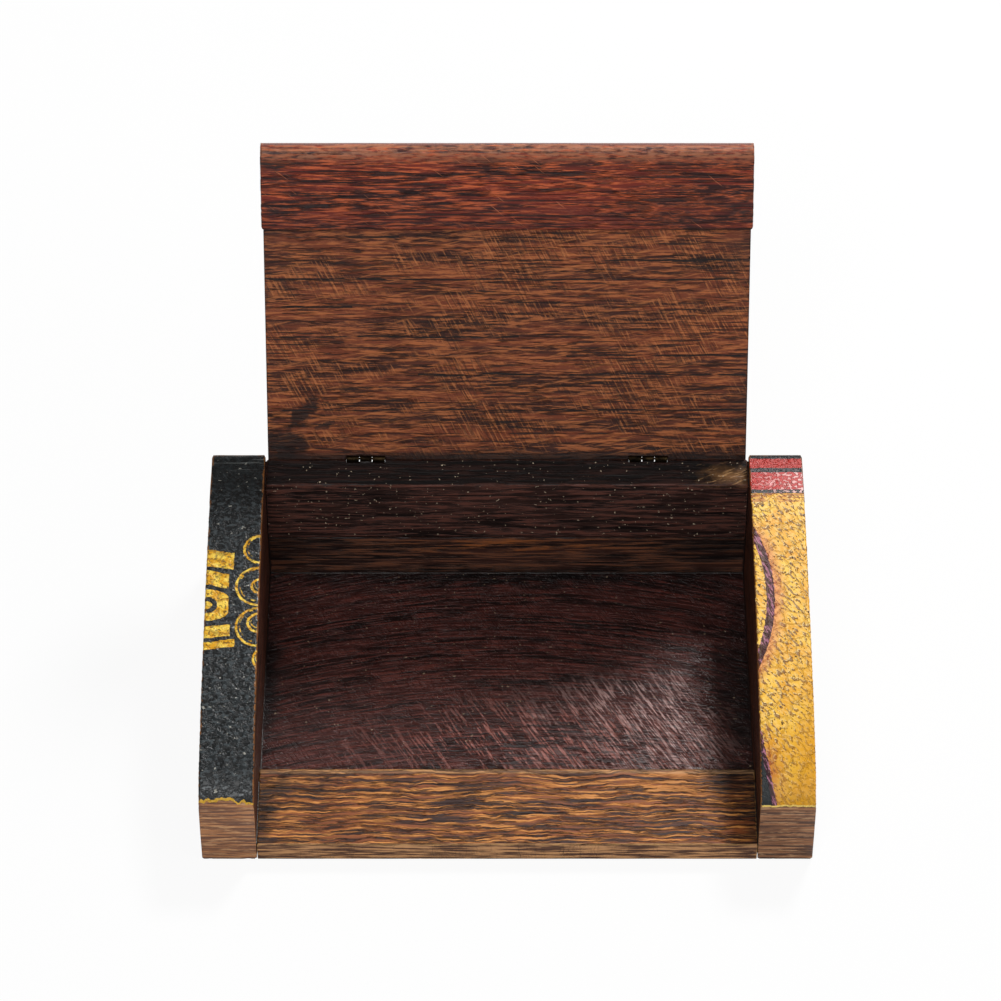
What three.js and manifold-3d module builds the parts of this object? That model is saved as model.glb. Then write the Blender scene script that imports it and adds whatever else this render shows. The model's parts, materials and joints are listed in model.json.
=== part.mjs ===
// Painted wooden box with thick arched end blocks and a carved, hinged lid that stands open.
// Millimetres, +Z up, +X right, the front at -Y. Origin: centre of the underside.
import * as THREE from 'three';
import Module from 'manifold-3d';
import { mergeVertices } from 'three/addons/utils/BufferGeometryUtils.js';

const wasm = await Module();
wasm.setup();

// Driving dimensions
const boxWidth = 200;
const boxDepth = 133.2;
const boxHeight = 54;
const endThickness = 18;
const jointGap = 0.2;
const edgeRound = 0.8;

const floorThickness = 3.3;
const backThickness = 9;
const backSplit = 21;
const railRearHeight = 50.42;
const sillDepth = 29.9;
const sillRearHeight = 10;
const sillFrontHeight = 7.3;

const closedSlope = THREE.MathUtils.degToRad(20.8);
const openLean = THREE.MathUtils.degToRad(23.7);
const lidWidth = 162.4;
const stripWidth = 163.4;
const lidLength = 112;
const panelLength = 84;
const stripProudRear = 4;
const stripProudNose = 2;
const noseThickness = 5.5;
const noseRound = 3;
const archProud = 1;
const lidOverhang = 0.7;
const lidInnerLift = 0.51;

const hingeAxis = { y: boxDepth / 2 + 0.25, z: railRearHeight + 0.2 };
const hingeSpacing = 96;
const leafWidth = 13;
const leafHeight = 3.2;
const leafThickness = 0.6;
const knuckleRadius = 0.9;
const knuckleBore = 0.5;
const hingePinRadius = 0.35;
const knuckleGap = 0.2;
const fitGap = 0.3;
const bradHeadRadius = 0.8;
const bradHeadThickness = 0.35;
const bradRadius = 0.4;
const bradLength = 4;

const pegRadius = 1.5;
const pegLength = 28;

const frontFace = -boxDepth / 2;
const rearFace = boxDepth / 2;
const innerHalf = boxWidth / 2 - endThickness;
const sillRear = frontFace + sillDepth;
const wallFront = rearFace - backThickness;
const openAngle = Math.PI / 2 + openLean + closedSlope;

// Materials
function surface(color, roughness, metalness = 0) {
  return new THREE.MeshStandardMaterial({ color, roughness, metalness });
}

const blackPaint = surface(0x23282b, 0.45);
const yellowPaint = surface(0xdba83c, 0.45);
const darkWood = surface(0x3a201a, 0.7);
const floorWood = surface(0x4a201b, 0.65);
const sillWood = surface(0x8a5a30, 0.7);
const lidWood = surface(0x6b3c22, 0.6);
const redWood = surface(0x6c2a1e, 0.55);
const pegWood = surface(0x9a7040, 0.7);
const agedBrass = surface(0x6e5a34, 0.5, 1);

// Sections lie in a plane of (y, z), and are drawn out along x with rounded edges.
const sectionToModel = new THREE.Matrix4().makeBasis(
  new THREE.Vector3(0, 1, 0),
  new THREE.Vector3(0, 0, 1),
  new THREE.Vector3(1, 0, 0),
);

function drawnOut(section, xFrom, xTo, round = 0, curveSegments = 20) {
  const geometry = new THREE.ExtrudeGeometry(section, {
    depth: xTo - xFrom - 2 * round,
    bevelEnabled: round > 0,
    bevelThickness: round,
    bevelSize: round,
    bevelOffset: -round,
    bevelSegments: 2,
    curveSegments,
  });
  geometry.translate(0, 0, xFrom + round);
  return geometry.applyMatrix4(sectionToModel);
}

function outline(points) {
  return new THREE.Shape(points.map(([y, z]) => new THREE.Vector2(y, z)));
}

function board(x0, x1, y0, y1, z0, z1) {
  const geometry = new THREE.BoxGeometry(x1 - x0, y1 - y0, z1 - z0);
  return geometry.translate((x0 + x1) / 2, (y0 + y1) / 2, (z0 + z1) / 2);
}

function rodAlongX(radius, x0, x1, y, z, sides = 24) {
  const geometry = new THREE.CylinderGeometry(radius, radius, x1 - x0, sides);
  geometry.rotateZ(Math.PI / 2);
  return geometry.translate((x0 + x1) / 2, y, z);
}

// Solid joins and cuts
function toSolid(geometry) {
  const bare = geometry.clone();
  bare.deleteAttribute('normal');
  bare.deleteAttribute('uv');
  const welded = mergeVertices(bare, 1e-4);
  return new wasm.Manifold(new wasm.Mesh({
    numProp: 3,
    vertProperties: new Float32Array(welded.attributes.position.array),
    triVerts: new Uint32Array(welded.index.array),
  }));
}

function toGeometry(solid) {
  const mesh = solid.getMesh();
  const geometry = new THREE.BufferGeometry();
  geometry.setAttribute('position', new THREE.BufferAttribute(mesh.vertProperties, 3));
  geometry.setIndex(new THREE.BufferAttribute(mesh.triVerts, 1));
  geometry.computeVertexNormals();
  return geometry;
}

function join(...geometries) {
  return toGeometry(geometries.map(toSolid).reduce((whole, next) => whole.add(next)));
}

function cut(geometry, ...tools) {
  return toGeometry(tools.map(toSolid).reduce((rest, tool) => rest.subtract(tool), toSolid(geometry)));
}

// The outer arch, from the level top behind to the upright front
function drawArch(section, rise) {
  section.lineTo(43.6, boxHeight + rise);
  section.bezierCurveTo(5, 50.2 + rise, frontFace, 40, frontFace, 24.5);
}

function endBlockSection() {
  const rearRound = 2.5;
  const section = new THREE.Shape();
  section.moveTo(frontFace, 0);
  section.lineTo(rearFace, 0);
  section.lineTo(rearFace, boxHeight - rearRound);
  section.quadraticCurveTo(rearFace, boxHeight, rearFace - rearRound, boxHeight);
  drawArch(section, 0);
  section.closePath();
  return section;
}

// Wooden pegs tie each end block to the back boards and the sill.
const pegPlaces = [
  { y: rearFace - backThickness / 2, z: 36 },
  { y: rearFace - backThickness / 2, z: 11 },
  { y: frontFace + sillDepth / 2, z: 4.3 },
];

function pegSpan(side, extra) {
  const outer = boxWidth / 2 - jointGap + extra;
  const inner = boxWidth / 2 - pegLength - extra;
  return side > 0 ? [inner, outer] : [-outer, -inner];
}

function pegTools(side) {
  return pegPlaces.map(({ y, z }) => rodAlongX(pegRadius + fitGap, ...pegSpan(side, 1), y, z));
}

const allPegTools = [...pegTools(-1), ...pegTools(1)];

function endBlock(side) {
  const span = side > 0 ? [innerHalf, boxWidth / 2] : [-boxWidth / 2, -innerHalf];
  return cut(drawnOut(endBlockSection(), ...span, edgeRound, 24), ...pegTools(side));
}

// Carcass boards between the end blocks
const boardHalf = innerHalf - jointGap;

function lowerBackBoard() {
  const plank = board(-boardHalf, boardHalf, wallFront, rearFace, 0, backSplit);
  return cut(plank, ...allPegTools);
}

function railSection() {
  const drop = backThickness * Math.tan(closedSlope);
  return outline([
    [wallFront, backSplit + jointGap],
    [rearFace, backSplit + jointGap],
    [rearFace, railRearHeight],
    [wallFront, railRearHeight - drop],
  ]);
}

function sillSection() {
  return outline([
    [frontFace, 0],
    [sillRear, 0],
    [sillRear, sillRearHeight],
    [frontFace, sillFrontHeight],
  ]);
}

// Hinges: leaves let into the rear faces, with the knuckles on the meeting line
const hingeCentres = [-hingeSpacing / 2, hingeSpacing / 2];

function hingePocket(x, z0, z1, y0, y1) {
  const half = leafWidth / 2 + fitGap;
  return board(x - half, x + half, y0, y1, z0, z1);
}

function knuckleGroove(x) {
  const half = leafWidth / 2 + fitGap;
  return rodAlongX(knuckleRadius + knuckleGap, x - half, x + half, hingeAxis.y, hingeAxis.z);
}

function leaf(x, side, wallFace) {
  const outward = 0.02;
  const plateNear = hingeAxis.z + side * (knuckleRadius + fitGap);
  const plateFar = plateNear + side * leafHeight;
  const y0 = wallFace - leafThickness;
  const y1 = wallFace - outward;
  const plate = board(
    x - leafWidth / 2, x + leafWidth / 2, y0, y1,
    Math.min(plateNear, plateFar), Math.max(plateNear, plateFar),
  );
  const third = leafWidth / 3;
  const outerThirds = [[-leafWidth / 2, -third / 2 - fitGap / 2], [third / 2 + fitGap / 2, leafWidth / 2]];
  const spans = side < 0 ? outerThirds : [[-third / 2 + fitGap / 2, third / 2 - fitGap / 2]];
  const parts = spans.flatMap(([from, to]) => {
    const knuckle = rodAlongX(knuckleRadius, x + from, x + to, hingeAxis.y, hingeAxis.z);
    const neckEnd = plateNear + side * leafHeight / 2;
    const neck = board(
      x + from, x + to, y0, y1,
      Math.min(hingeAxis.z, neckEnd), Math.max(hingeAxis.z, neckEnd),
    );
    return [knuckle, neck];
  });
  const bore = rodAlongX(knuckleBore, x - leafWidth, x + leafWidth, hingeAxis.y, hingeAxis.z);
  return cut(join(plate, ...parts), bore, ...bradTools(side, wallFace, fitGap / 2));
}

const lidRear = rearFace + lidOverhang;
const bradOffsets = [-leafWidth / 3, leafWidth / 3];

function bradHeight(side) {
  return hingeAxis.z + side * (knuckleRadius + fitGap + leafHeight / 2);
}

function rodAlongY(radius, y0, y1, x, z) {
  return new THREE.CylinderGeometry(radius, radius, y1 - y0, 16).translate(x, (y0 + y1) / 2, z);
}

function bradTools(side, wallFace, extra) {
  return hingeCentres.flatMap((x) => bradOffsets.map((offset) => rodAlongY(
    bradRadius + extra, wallFace - bradLength - extra, wallFace + 1, x + offset, bradHeight(side),
  )));
}

function brad(x, side, wallFace) {
  const z = bradHeight(side);
  const shank = rodAlongY(bradRadius, wallFace - bradLength, wallFace + fitGap, x, z);
  const head = rodAlongY(bradHeadRadius, wallFace + fitGap / 3, wallFace + fitGap / 3 + bradHeadThickness, x, z);
  return join(shank, head);
}

function hingeSeatTools(side, wallFace) {
  const far = hingeAxis.z + side * (knuckleRadius + 2 * fitGap + leafHeight);
  const seats = hingeCentres.map((x) => hingePocket(
    x, Math.min(hingeAxis.z, far), Math.max(hingeAxis.z, far), wallFace - leafThickness - fitGap, wallFace + 1,
  ));
  return [...seats, ...hingeCentres.map(knuckleGroove), ...bradTools(side, wallFace, fitGap)];
}

function backRail() {
  const rail = drawnOut(railSection(), -boardHalf, boardHalf, 0.3);
  return cut(rail, ...allPegTools, ...hingeSeatTools(-1, rearFace));
}

// Lid, drawn closed: `along` runs from its rear inner corner to the nose, `off` out of the inner face.
const lidCorner = { y: lidRear, z: railRearHeight + lidInnerLift };

function lidPoint(along, off) {
  return [
    lidCorner.y - along * Math.cos(closedSlope) - off * Math.sin(closedSlope),
    lidCorner.z - along * Math.sin(closedSlope) + off * Math.cos(closedSlope),
  ];
}

function wholeLidSection() {
  const rearRound = 1.5;
  const crown = boxHeight + archProud;
  const section = new THREE.Shape();
  section.moveTo(...lidPoint(lidLength - noseRound, -stripProudNose));
  section.lineTo(...lidPoint(panelLength, -stripProudRear));
  section.lineTo(...lidPoint(panelLength, 0));
  section.lineTo(...lidPoint(0, 0));
  section.lineTo(lidRear, crown - rearRound);
  section.quadraticCurveTo(lidRear, crown, lidRear - rearRound, crown);
  section.lineTo(43.6, crown);
  section.bezierCurveTo(24, 52.8, 8, 51.8, -6, 49.4);
  section.bezierCurveTo(-28, 45.6, -39.5, 36, ...lidPoint(lidLength - noseRound / 2, noseThickness));
  section.quadraticCurveTo(...lidPoint(lidLength, noseThickness), ...lidPoint(lidLength, noseThickness - noseRound));
  section.lineTo(...lidPoint(lidLength, noseRound - stripProudNose));
  section.quadraticCurveTo(...lidPoint(lidLength, -stripProudNose), ...lidPoint(lidLength - noseRound, -stripProudNose));
  return section;
}

function lidCutter(alongFrom, alongTo) {
  const deep = 60;
  const corners = [[alongFrom, -deep], [alongTo, -deep], [alongTo, deep], [alongFrom, deep]];
  return drawnOut(outline(corners.map(([along, off]) => lidPoint(along, off))), -boxWidth, boxWidth);
}

function lidPanel() {
  const whole = drawnOut(wholeLidSection(), -lidWidth / 2, lidWidth / 2, 0.5, 16);
  return cut(whole, lidCutter(panelLength, 2 * lidLength), ...hingeSeatTools(1, lidRear));
}

function lidFrontStrip() {
  const whole = drawnOut(wholeLidSection(), -stripWidth / 2, stripWidth / 2, 0.5, 16);
  return cut(whole, lidCutter(-lidLength, panelLength + jointGap));
}

// The scene graph: the box stands still, and the lid turns about the hinge line.
function piece(name, geometry, material) {
  const mesh = new THREE.Mesh(geometry, material);
  mesh.name = name;
  return mesh;
}

const floorBoard = board(-boardHalf, boardHalf, sillRear + jointGap, wallFront - jointGap, 0, floorThickness);

const carcass = new THREE.Group();
carcass.add(
  piece('left_end_block', endBlock(-1), blackPaint),
  piece('right_end_block', endBlock(1), yellowPaint),
  piece('floor_board', floorBoard, floorWood),
  piece('lower_back_board', lowerBackBoard(), darkWood),
  piece('back_rail', backRail(), darkWood),
  piece('front_sill', cut(drawnOut(sillSection(), -boardHalf, boardHalf, 0.3), ...allPegTools), sillWood),
);

const pegNames = ['upper_rear', 'lower_rear', 'front'];
for (const [sideName, side] of [['left', -1], ['right', 1]]) {
  pegPlaces.forEach(({ y, z }, index) => {
    const peg = rodAlongX(pegRadius, ...pegSpan(side, 0), y, z);
    carcass.add(piece(`${sideName}_${pegNames[index]}_peg`, peg, pegWood));
  });
}

const lid = new THREE.Group();
lid.add(
  piece('lid_panel', lidPanel(), lidWood),
  piece('lid_front_strip', lidFrontStrip(), redWood),
);

for (const [sideName, x] of [['left', hingeCentres[0]], ['right', hingeCentres[1]]]) {
  carcass.add(
    piece(`${sideName}_hinge_box_leaf`, leaf(x, -1, rearFace), agedBrass),
    piece(`${sideName}_hinge_pin`, rodAlongX(
      hingePinRadius, x - leafWidth / 2, x + leafWidth / 2, hingeAxis.y, hingeAxis.z,
    ), agedBrass),
  );
  lid.add(piece(`${sideName}_hinge_lid_leaf`, leaf(x, 1, lidRear), agedBrass));
  bradOffsets.forEach((offset, index) => {
    const place = ['outer', 'inner'][(x < 0) === (index === 0) ? 0 : 1];
    carcass.add(piece(`${sideName}_hinge_box_brad_${place}`, brad(x + offset, -1, rearFace), agedBrass));
    lid.add(piece(`${sideName}_hinge_lid_brad_${place}`, brad(x + offset, 1, lidRear), agedBrass));
  });
}

// Rest pose: the lid is swung open about the hinge line.
const toAxis = new THREE.Group();
toAxis.position.set(0, hingeAxis.y, hingeAxis.z);
toAxis.rotation.x = -openAngle;
lid.position.set(0, -hingeAxis.y, -hingeAxis.z);
toAxis.add(lid);

const model = new THREE.Group();
model.add(carcass, toAxis);

export default model;
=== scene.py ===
import json
import math

import bmesh
import bpy
import numpy as np
from mathutils import Matrix, Vector, noise


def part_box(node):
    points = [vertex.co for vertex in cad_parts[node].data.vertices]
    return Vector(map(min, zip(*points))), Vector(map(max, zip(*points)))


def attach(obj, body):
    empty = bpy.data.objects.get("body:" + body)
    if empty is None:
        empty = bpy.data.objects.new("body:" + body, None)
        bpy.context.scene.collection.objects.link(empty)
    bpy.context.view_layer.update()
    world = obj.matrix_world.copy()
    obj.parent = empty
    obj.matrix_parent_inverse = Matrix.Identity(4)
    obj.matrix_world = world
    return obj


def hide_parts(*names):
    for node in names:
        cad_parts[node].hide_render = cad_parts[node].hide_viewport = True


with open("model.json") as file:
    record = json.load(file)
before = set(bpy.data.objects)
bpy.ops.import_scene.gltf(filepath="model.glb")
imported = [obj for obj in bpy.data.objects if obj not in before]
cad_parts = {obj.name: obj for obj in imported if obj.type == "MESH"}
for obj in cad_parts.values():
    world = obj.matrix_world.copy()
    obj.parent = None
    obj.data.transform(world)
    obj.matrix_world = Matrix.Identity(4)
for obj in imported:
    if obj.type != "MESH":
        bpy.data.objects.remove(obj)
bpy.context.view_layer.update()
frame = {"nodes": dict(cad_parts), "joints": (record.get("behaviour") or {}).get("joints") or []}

# Painted wooden box with thick arched end blocks and a carved lid that stands open.
# Blender's units are metres; sections, patterns and places are written in mm, but the lights' in metres.
mm = 0.001
hinge = frame["joints"][0]
hingeY, hingeZ = hinge["pos_m"][1] / mm, hinge["pos_m"][2] / mm
lidSwing = math.radians(hinge["range_deg"][1])   # from closed back to the photographed pose


def nodeBox(node):
    low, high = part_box(node)
    return np.array(low) / mm, np.array(high) / mm


def linearColour(code):
    channels = [int(code[i:i + 2], 16) / 255 for i in (1, 3, 5)]
    linear = [c / 12.92 if c <= 0.04045 else ((c + 0.055) / 1.055) ** 2.4 for c in channels]
    return (*linear, 1.0)


# Shader building

def addNode(tree, kind, settings=None, links=None):
    # a link's source is a plain value, a socket, or a node that stands for its first output
    node = tree.nodes.new(kind)
    for key, value in (settings or {}).items():
        setattr(node, key, value)
    for socket, source in (links or {}).items():
        if isinstance(source, bpy.types.Node):
            source = source.outputs[0]
        if isinstance(source, bpy.types.NodeSocket):
            tree.links.new(source, node.inputs[socket])
        else:
            node.inputs[socket].default_value = source
    return node


def startMaterial(name):
    material = bpy.data.materials.new(name)
    material.use_nodes = True
    material.node_tree.nodes.clear()
    return material, material.node_tree


def endMaterial(material, colour, roughness, height, depth, specular=0.5, metallic=0.0):
    # depth is the real relief in mm that a height of 0 to 1 stands for
    tree = material.node_tree
    bump = addNode(tree, "ShaderNodeBump", None, {"Strength": 1.0, "Distance": depth * mm, "Height": height})
    shader = addNode(tree, "ShaderNodeBsdfPrincipled", None, {
        "Base Color": colour, "Roughness": roughness, "Normal": bump, "Specular IOR Level": specular,
        "Metallic": metallic})
    addNode(tree, "ShaderNodeOutputMaterial", None, {"Surface": shader})
    return material


def place(tree, name="grainPlace"):
    # the piece's own coordinates in mm: along the grain, across the face, and into the wood
    return addNode(tree, "ShaderNodeAttribute", {"attribute_name": name}).outputs["Vector"]


def separate(tree, vector):
    return tuple(addNode(tree, "ShaderNodeSeparateXYZ", None, {0: vector}).outputs)


def fade(tree, value, start, end, low=0.0, high=1.0):
    # low where the value is at start, high where it is at end, and soft between
    return addNode(tree, "ShaderNodeMapRange", {"interpolation_type": "SMOOTHSTEP"}, {
        0: value, 1: start, 2: end, 3: low, 4: high})


def band(tree, value, low, high):
    # 1 between two levels and 0 outside them
    return addNode(tree, "ShaderNodeMath", {"operation": "COMPARE"}, {
        0: value, 1: (low + high) / 2, 2: (high - low) / 2})


def shifted(tree, level, mask, amount):
    # a level that moves up by amount as the mask goes from 0 to 1
    return addNode(tree, "ShaderNodeMath", {"operation": "MULTIPLY_ADD"}, {0: mask, 1: amount, 2: level})


def both(tree, first, second, operation="MULTIPLY"):
    return addNode(tree, "ShaderNodeMath", {"operation": operation, "use_clamp": True}, {
        0: first, 1: second})


def without(tree, mask, hole):
    return both(tree, mask, both(tree, 1.0, hole, "SUBTRACT"))


def anyOf(tree, first, *others):
    for other in others:
        first = both(tree, first, other, "MAXIMUM")
    return first


def relief(tree, cutIn, fine, level):
    # the wood's height: marks cut down from a level, and the fine fibres standing above it
    low = both(tree, level, both(tree, cutIn, level), "SUBTRACT")
    return both(tree, low, both(tree, fine, 1 - level), "ADD")


def flecks(tree, where, size, cut, turn=0.0, detail=3.0, seed=0.0, rough=0.6):
    # noise drawn out to size in mm and turned in the face, then cut between two levels
    drawn = addNode(tree, "ShaderNodeMapping", {"vector_type": "TEXTURE"}, {
        "Vector": where, "Scale": size, "Rotation": (0, 0, math.radians(turn)),
        "Location": (seed * 7.3, seed * 3.1, seed)})
    grain = addNode(tree, "ShaderNodeTexNoise", None, {
        "Vector": drawn, "Scale": 1.0, "Detail": detail, "Roughness": rough})
    return fade(tree, grain, *cut)


def reachFrom(tree, where, centre, size=(1, 1, 1), turn=0.0):
    # how far each place is from a centre, counted in sizes
    near = addNode(tree, "ShaderNodeMapping", {"vector_type": "TEXTURE"}, {
        "Vector": where, "Location": centre, "Scale": size, "Rotation": (0, 0, math.radians(turn))})
    return addNode(tree, "ShaderNodeVectorMath", {"operation": "LENGTH"}, {0: near}).outputs[1]


def spot(tree, where, centre, size, turn=0.0, ragged=0.35, core=0.5):
    # a soft, ragged patch with its middle and half sizes in mm
    torn = flecks(tree, where, (min(size) * 1.2,) * 3, (0.2, 0.8), seed=centre[0])
    reach = shifted(tree, reachFrom(tree, where, centre, size, turn), torn, ragged * 2)
    return fade(tree, reach, 1.0 + ragged, core + ragged)


def ring(tree, where, centre, radius, width, stretch=1.0):
    # a painted ring about a centre (across, along), or a disc where the width is twice the radius
    reach = reachFrom(tree, where, (*centre, 0), (stretch, 1, 1))
    return band(tree, reach, radius - width / 2, radius + width / 2)


def wornEdges(tree, where, reach, ragged=1.2):
    # 1 along the piece's sharp edges, fading over reach mm in a ragged line
    gap = addNode(tree, "ShaderNodeAttribute", {"attribute_name": "edgeDistance"}).outputs["Fac"]
    torn = flecks(tree, where, (2.5, 2.5, 2.5), (0.25, 0.75), detail=4, seed=4)
    return fade(tree, shifted(tree, gap, torn, ragged), reach + ragged * 0.6, reach * 0.3 + ragged * 0.3)


def handShift(tree, where, amount, size, seed=None):
    # a small move in every direction that changes over size, drawn again for each seed
    drawn = {"Vector": where, "Scale": 1 / size, "Detail": 2.0}
    if seed is not None:
        drawn["W"] = float(seed)
    grain = addNode(tree, "ShaderNodeTexNoise", {"noise_dimensions": "3D" if seed is None else "4D"}, drawn)
    middle = addNode(tree, "ShaderNodeVectorMath", {"operation": "SUBTRACT"}, {
        0: grain.outputs[1], 1: (0.5, 0.5, 0.5)})
    return addNode(tree, "ShaderNodeVectorMath", {"operation": "SCALE"}, {0: middle, "Scale": amount})


def brushed(tree, where, amount, size=1.6):
    # places moved by a small hand wobble and laid flat, so that lines and grain aren't ruled
    moved = addNode(tree, "ShaderNodeVectorMath", {"operation": "ADD"}, {
        0: where, 1: handShift(tree, where, amount, size)})
    return addNode(tree, "ShaderNodeVectorMath", {"operation": "MULTIPLY"}, {0: moved, 1: (1, 1, 0)})


def layOver(tree, below, mask, above, share=1.0):
    # lays a colour over what is below wherever the mask is 1
    if share != 1.0:
        mask = both(tree, mask, share)
    below, above = (linearColour(colour) if isinstance(colour, str) else colour for colour in (below, above))
    return addNode(tree, "ShaderNodeMix", {"data_type": "RGBA"}, {0: mask, 6: below, 7: above}).outputs[2]


def layAll(tree, colour, layers):
    for layer in layers:
        colour = layOver(tree, colour, *layer)
    return colour


def layBands(tree, colour, value, bands):
    # a colour between each pair of levels
    return layAll(tree, colour, [(band(tree, value, low, high), code) for low, high, code in bands])


def layPatches(tree, where, colour, patches, through=1.0):
    # one colour in several soft patches, broken up by a second mask
    for centre, size, turn in patches["places"]:
        patch = spot(tree, where, centre, size, turn, patches["ragged"], patches["core"])
        colour = layOver(tree, colour, both(tree, patch, through), patches["colour"], patches["share"])
    return colour


def mottledWood(tree, where, tones, fibre=(12.0, 1.0, 3.0), streak=(60.0, 3.6, 9.0), seed=0.0):
    # tones run from dark to light: broad streaks first, then the short fibres over them
    dark, middle, light = tones
    broad = flecks(tree, where, streak, (0.40, 0.60), seed=seed)
    fine = flecks(tree, where, fibre, (0.46, 0.60), detail=4, seed=seed + 2, rough=0.65)
    return layAll(tree, dark, [(broad, middle), (fine, light, 0.75)]), broad, fine


# Carved solids

def weightedPoint(weights, points):
    return tuple(sum(weight * point[k] for weight, point in zip(weights, points)) for k in (0, 1))


def smoothLine(start, control1, control2, end, steps):
    line = []
    for i in range(1, steps + 1):
        t = i / steps
        weights = ((1 - t) ** 3, 3 * (1 - t) ** 2 * t, 3 * (1 - t) * t * t, t ** 3)
        line.append(weightedPoint(weights, (start, control1, control2, end)))
    return line


def roundCorner(before, corner, after, steps=3):
    line = []
    for i in range(steps + 1):
        t = i / steps
        weights = ((1 - t) ** 2, 2 * (1 - t) * t, t * t)
        line.append(weightedPoint(weights, (before, corner, after)))
    return line


def nearestOnSection(points, section):
    # for each (y, z): the nearest place on the closed outline, how far off it is, and the side it is on
    best = np.full(len(points), 1e9)
    nearest = points.copy()
    sideAt = np.zeros(len(points), int)
    for side, (a, b) in enumerate(zip(section, section[1:] + section[:1])):
        a, b = np.array(a), np.array(b)
        run = b - a
        t = np.clip(((points - a) @ run) / max(run @ run, 1e-9), 0, 1)
        found = a + t[:, None] * run
        gap = np.hypot(*(points - found).T)
        closer = gap < best
        nearest[closer] = found[closer]
        best[closer] = gap[closer]
        sideAt[closer] = side
    return nearest, best, sideAt


def sharpCorners(section, leastTurn=0.25):
    corners = []
    for i, here in enumerate(section):
        before, after = section[i - 1], section[(i + 1) % len(section)]
        arrive = math.atan2(here[1] - before[1], here[0] - before[0])
        leave = math.atan2(after[1] - here[1], after[0] - here[0])
        if abs((leave - arrive + math.pi) % (2 * math.pi) - math.pi) > leastTurn:
            corners.append(i)
    return corners


def drawCorners(points, section, reach):
    # pulls the row of points nearest to each sharp corner out into it, so that it stays crisp
    sideAt = nearestOnSection(points[:, 1:], section)[2]
    for i in sharpCorners(section):
        gap = np.hypot(points[:, 1] - section[i][0], points[:, 2] - section[i][1])
        rows = [(gap[sideAt == side].min(initial=reach), side) for side in (i, (i - 1) % len(section))]
        least, side = min(rows)
        chosen = (sideAt == side) & (gap < min(least + 0.1 * reach, reach))
        points[chosen, 1:] = section[i]


def addObject(name, data):
    piece = bpy.data.objects.new(name, data)
    bpy.context.scene.collection.objects.link(piece)
    return piece


def prism(name, section, span):
    mesh = bpy.data.meshes.new(name)
    shape = bmesh.new()
    ends = [[shape.verts.new((x, y, z)) for y, z in section] for x in span]
    shape.faces.new(ends[0])
    shape.faces.new(ends[1])
    for i in range(len(section)):
        j = (i + 1) % len(section)
        shape.faces.new((ends[0][i], ends[0][j], ends[1][j], ends[1][i]))
    bmesh.ops.recalc_face_normals(shape, faces=shape.faces)
    shape.to_mesh(mesh)
    shape.free()
    return addObject(name, mesh)


def bakeModifiers(piece):
    bpy.context.view_layer.update()
    graph = bpy.context.evaluated_depsgraph_get()
    mesh = bpy.data.meshes.new_from_object(piece.evaluated_get(graph))
    piece.modifiers.clear()
    piece.data = mesh
    return mesh


def readVectors(items, name):
    flat = np.empty(len(items) * 3, np.float32)
    items.foreach_get(name, flat)
    return flat.reshape(-1, 3).astype(float)


def putPoints(mesh, points):
    mesh.vertices.foreach_set("co", points.astype(np.float32).ravel())
    mesh.update()


def smooth(piece):
    piece.data.polygons.foreach_set("use_smooth", [True] * len(piece.data.polygons))


def writeAttribute(mesh, name, values):
    kind, key = ("FLOAT_VECTOR", "vector") if values.ndim == 2 else ("FLOAT", "value")
    attribute = mesh.attributes.get(name) or mesh.attributes.new(name, kind, "POINT")
    attribute.data.foreach_set(key, values.astype(np.float32).ravel())


def handUneven(points, normals, look):
    # slow waves from the hand plane, and a few shallow dents where the noise is above dentLevel
    dentLevel = 0.45
    moved = points.copy()
    for i, (point, normal) in enumerate(zip(points, normals)):
        wave = noise.noise(Vector(point) / look["waveLength"] + Vector((look["seed"], 0, 0)))
        knock = noise.noise(Vector(point) / look["dentSize"] + Vector((0, look["seed"], 0)))
        dent = max(0.0, knock - dentLevel)
        moved[i] += normal * (wave * look["waveDepth"] - dent * look["dentDepth"] - look["waveDepth"])
    return moved


def roundSection(centre, radius, sides=28):
    turns = [2 * math.pi * i / sides for i in range(sides)]
    return [(centre[0] + radius * math.cos(turn), centre[1] + radius * math.sin(turn)) for turn in turns]


def backToSection(points, section, span, pitch):
    # draws the skin that the remeshing moved back to the outline, the end faces and their rims
    nearest, skinGap, _ = nearestOnSection(points[:, 1:], section)
    capAt = np.where(points[:, 0] > sum(span) / 2, span[1], span[0])
    capGap = np.abs(capAt - points[:, 0])
    toSkin = (skinGap < pitch) & (skinGap <= capGap)
    toCap = (capGap < pitch) & (capGap < skinGap)
    points[toSkin, 1:] += (nearest - points[:, 1:])[toSkin]
    points[toCap, 0] += (capAt - points[:, 0])[toCap]
    rim = toCap & (skinGap < 0.7 * pitch)
    points[rim, 1:] = nearest[rim]
    drawCorners(points, section, pitch)


def cutOut(piece, cuts):
    cutters = [prism("cutter", cutSection, cutSpan) for cutSection, cutSpan in cuts]
    for cutter in cutters:
        cut = piece.modifiers.new("cut", "BOOLEAN")
        cut.operation = "DIFFERENCE"
        cut.solver = "EXACT"
        cut.object = cutter
    bakeModifiers(piece)
    for cutter in cutters:
        bpy.data.objects.remove(cutter)


def edgeGap(points, section, span):
    # how far each point is from the nearest sharp edge
    capGap = np.minimum(points[:, 0] - span[0], span[1] - points[:, 0]).clip(0)
    skinGap = nearestOnSection(points[:, 1:], section)[1]
    corners = [section[i] for i in sharpCorners(section)]
    cornerGap = np.min([np.hypot(points[:, 1] - y, points[:, 2] - z) for y, z in corners], axis=0)
    return np.minimum(np.hypot(capGap, skinGap), cornerGap)


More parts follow.
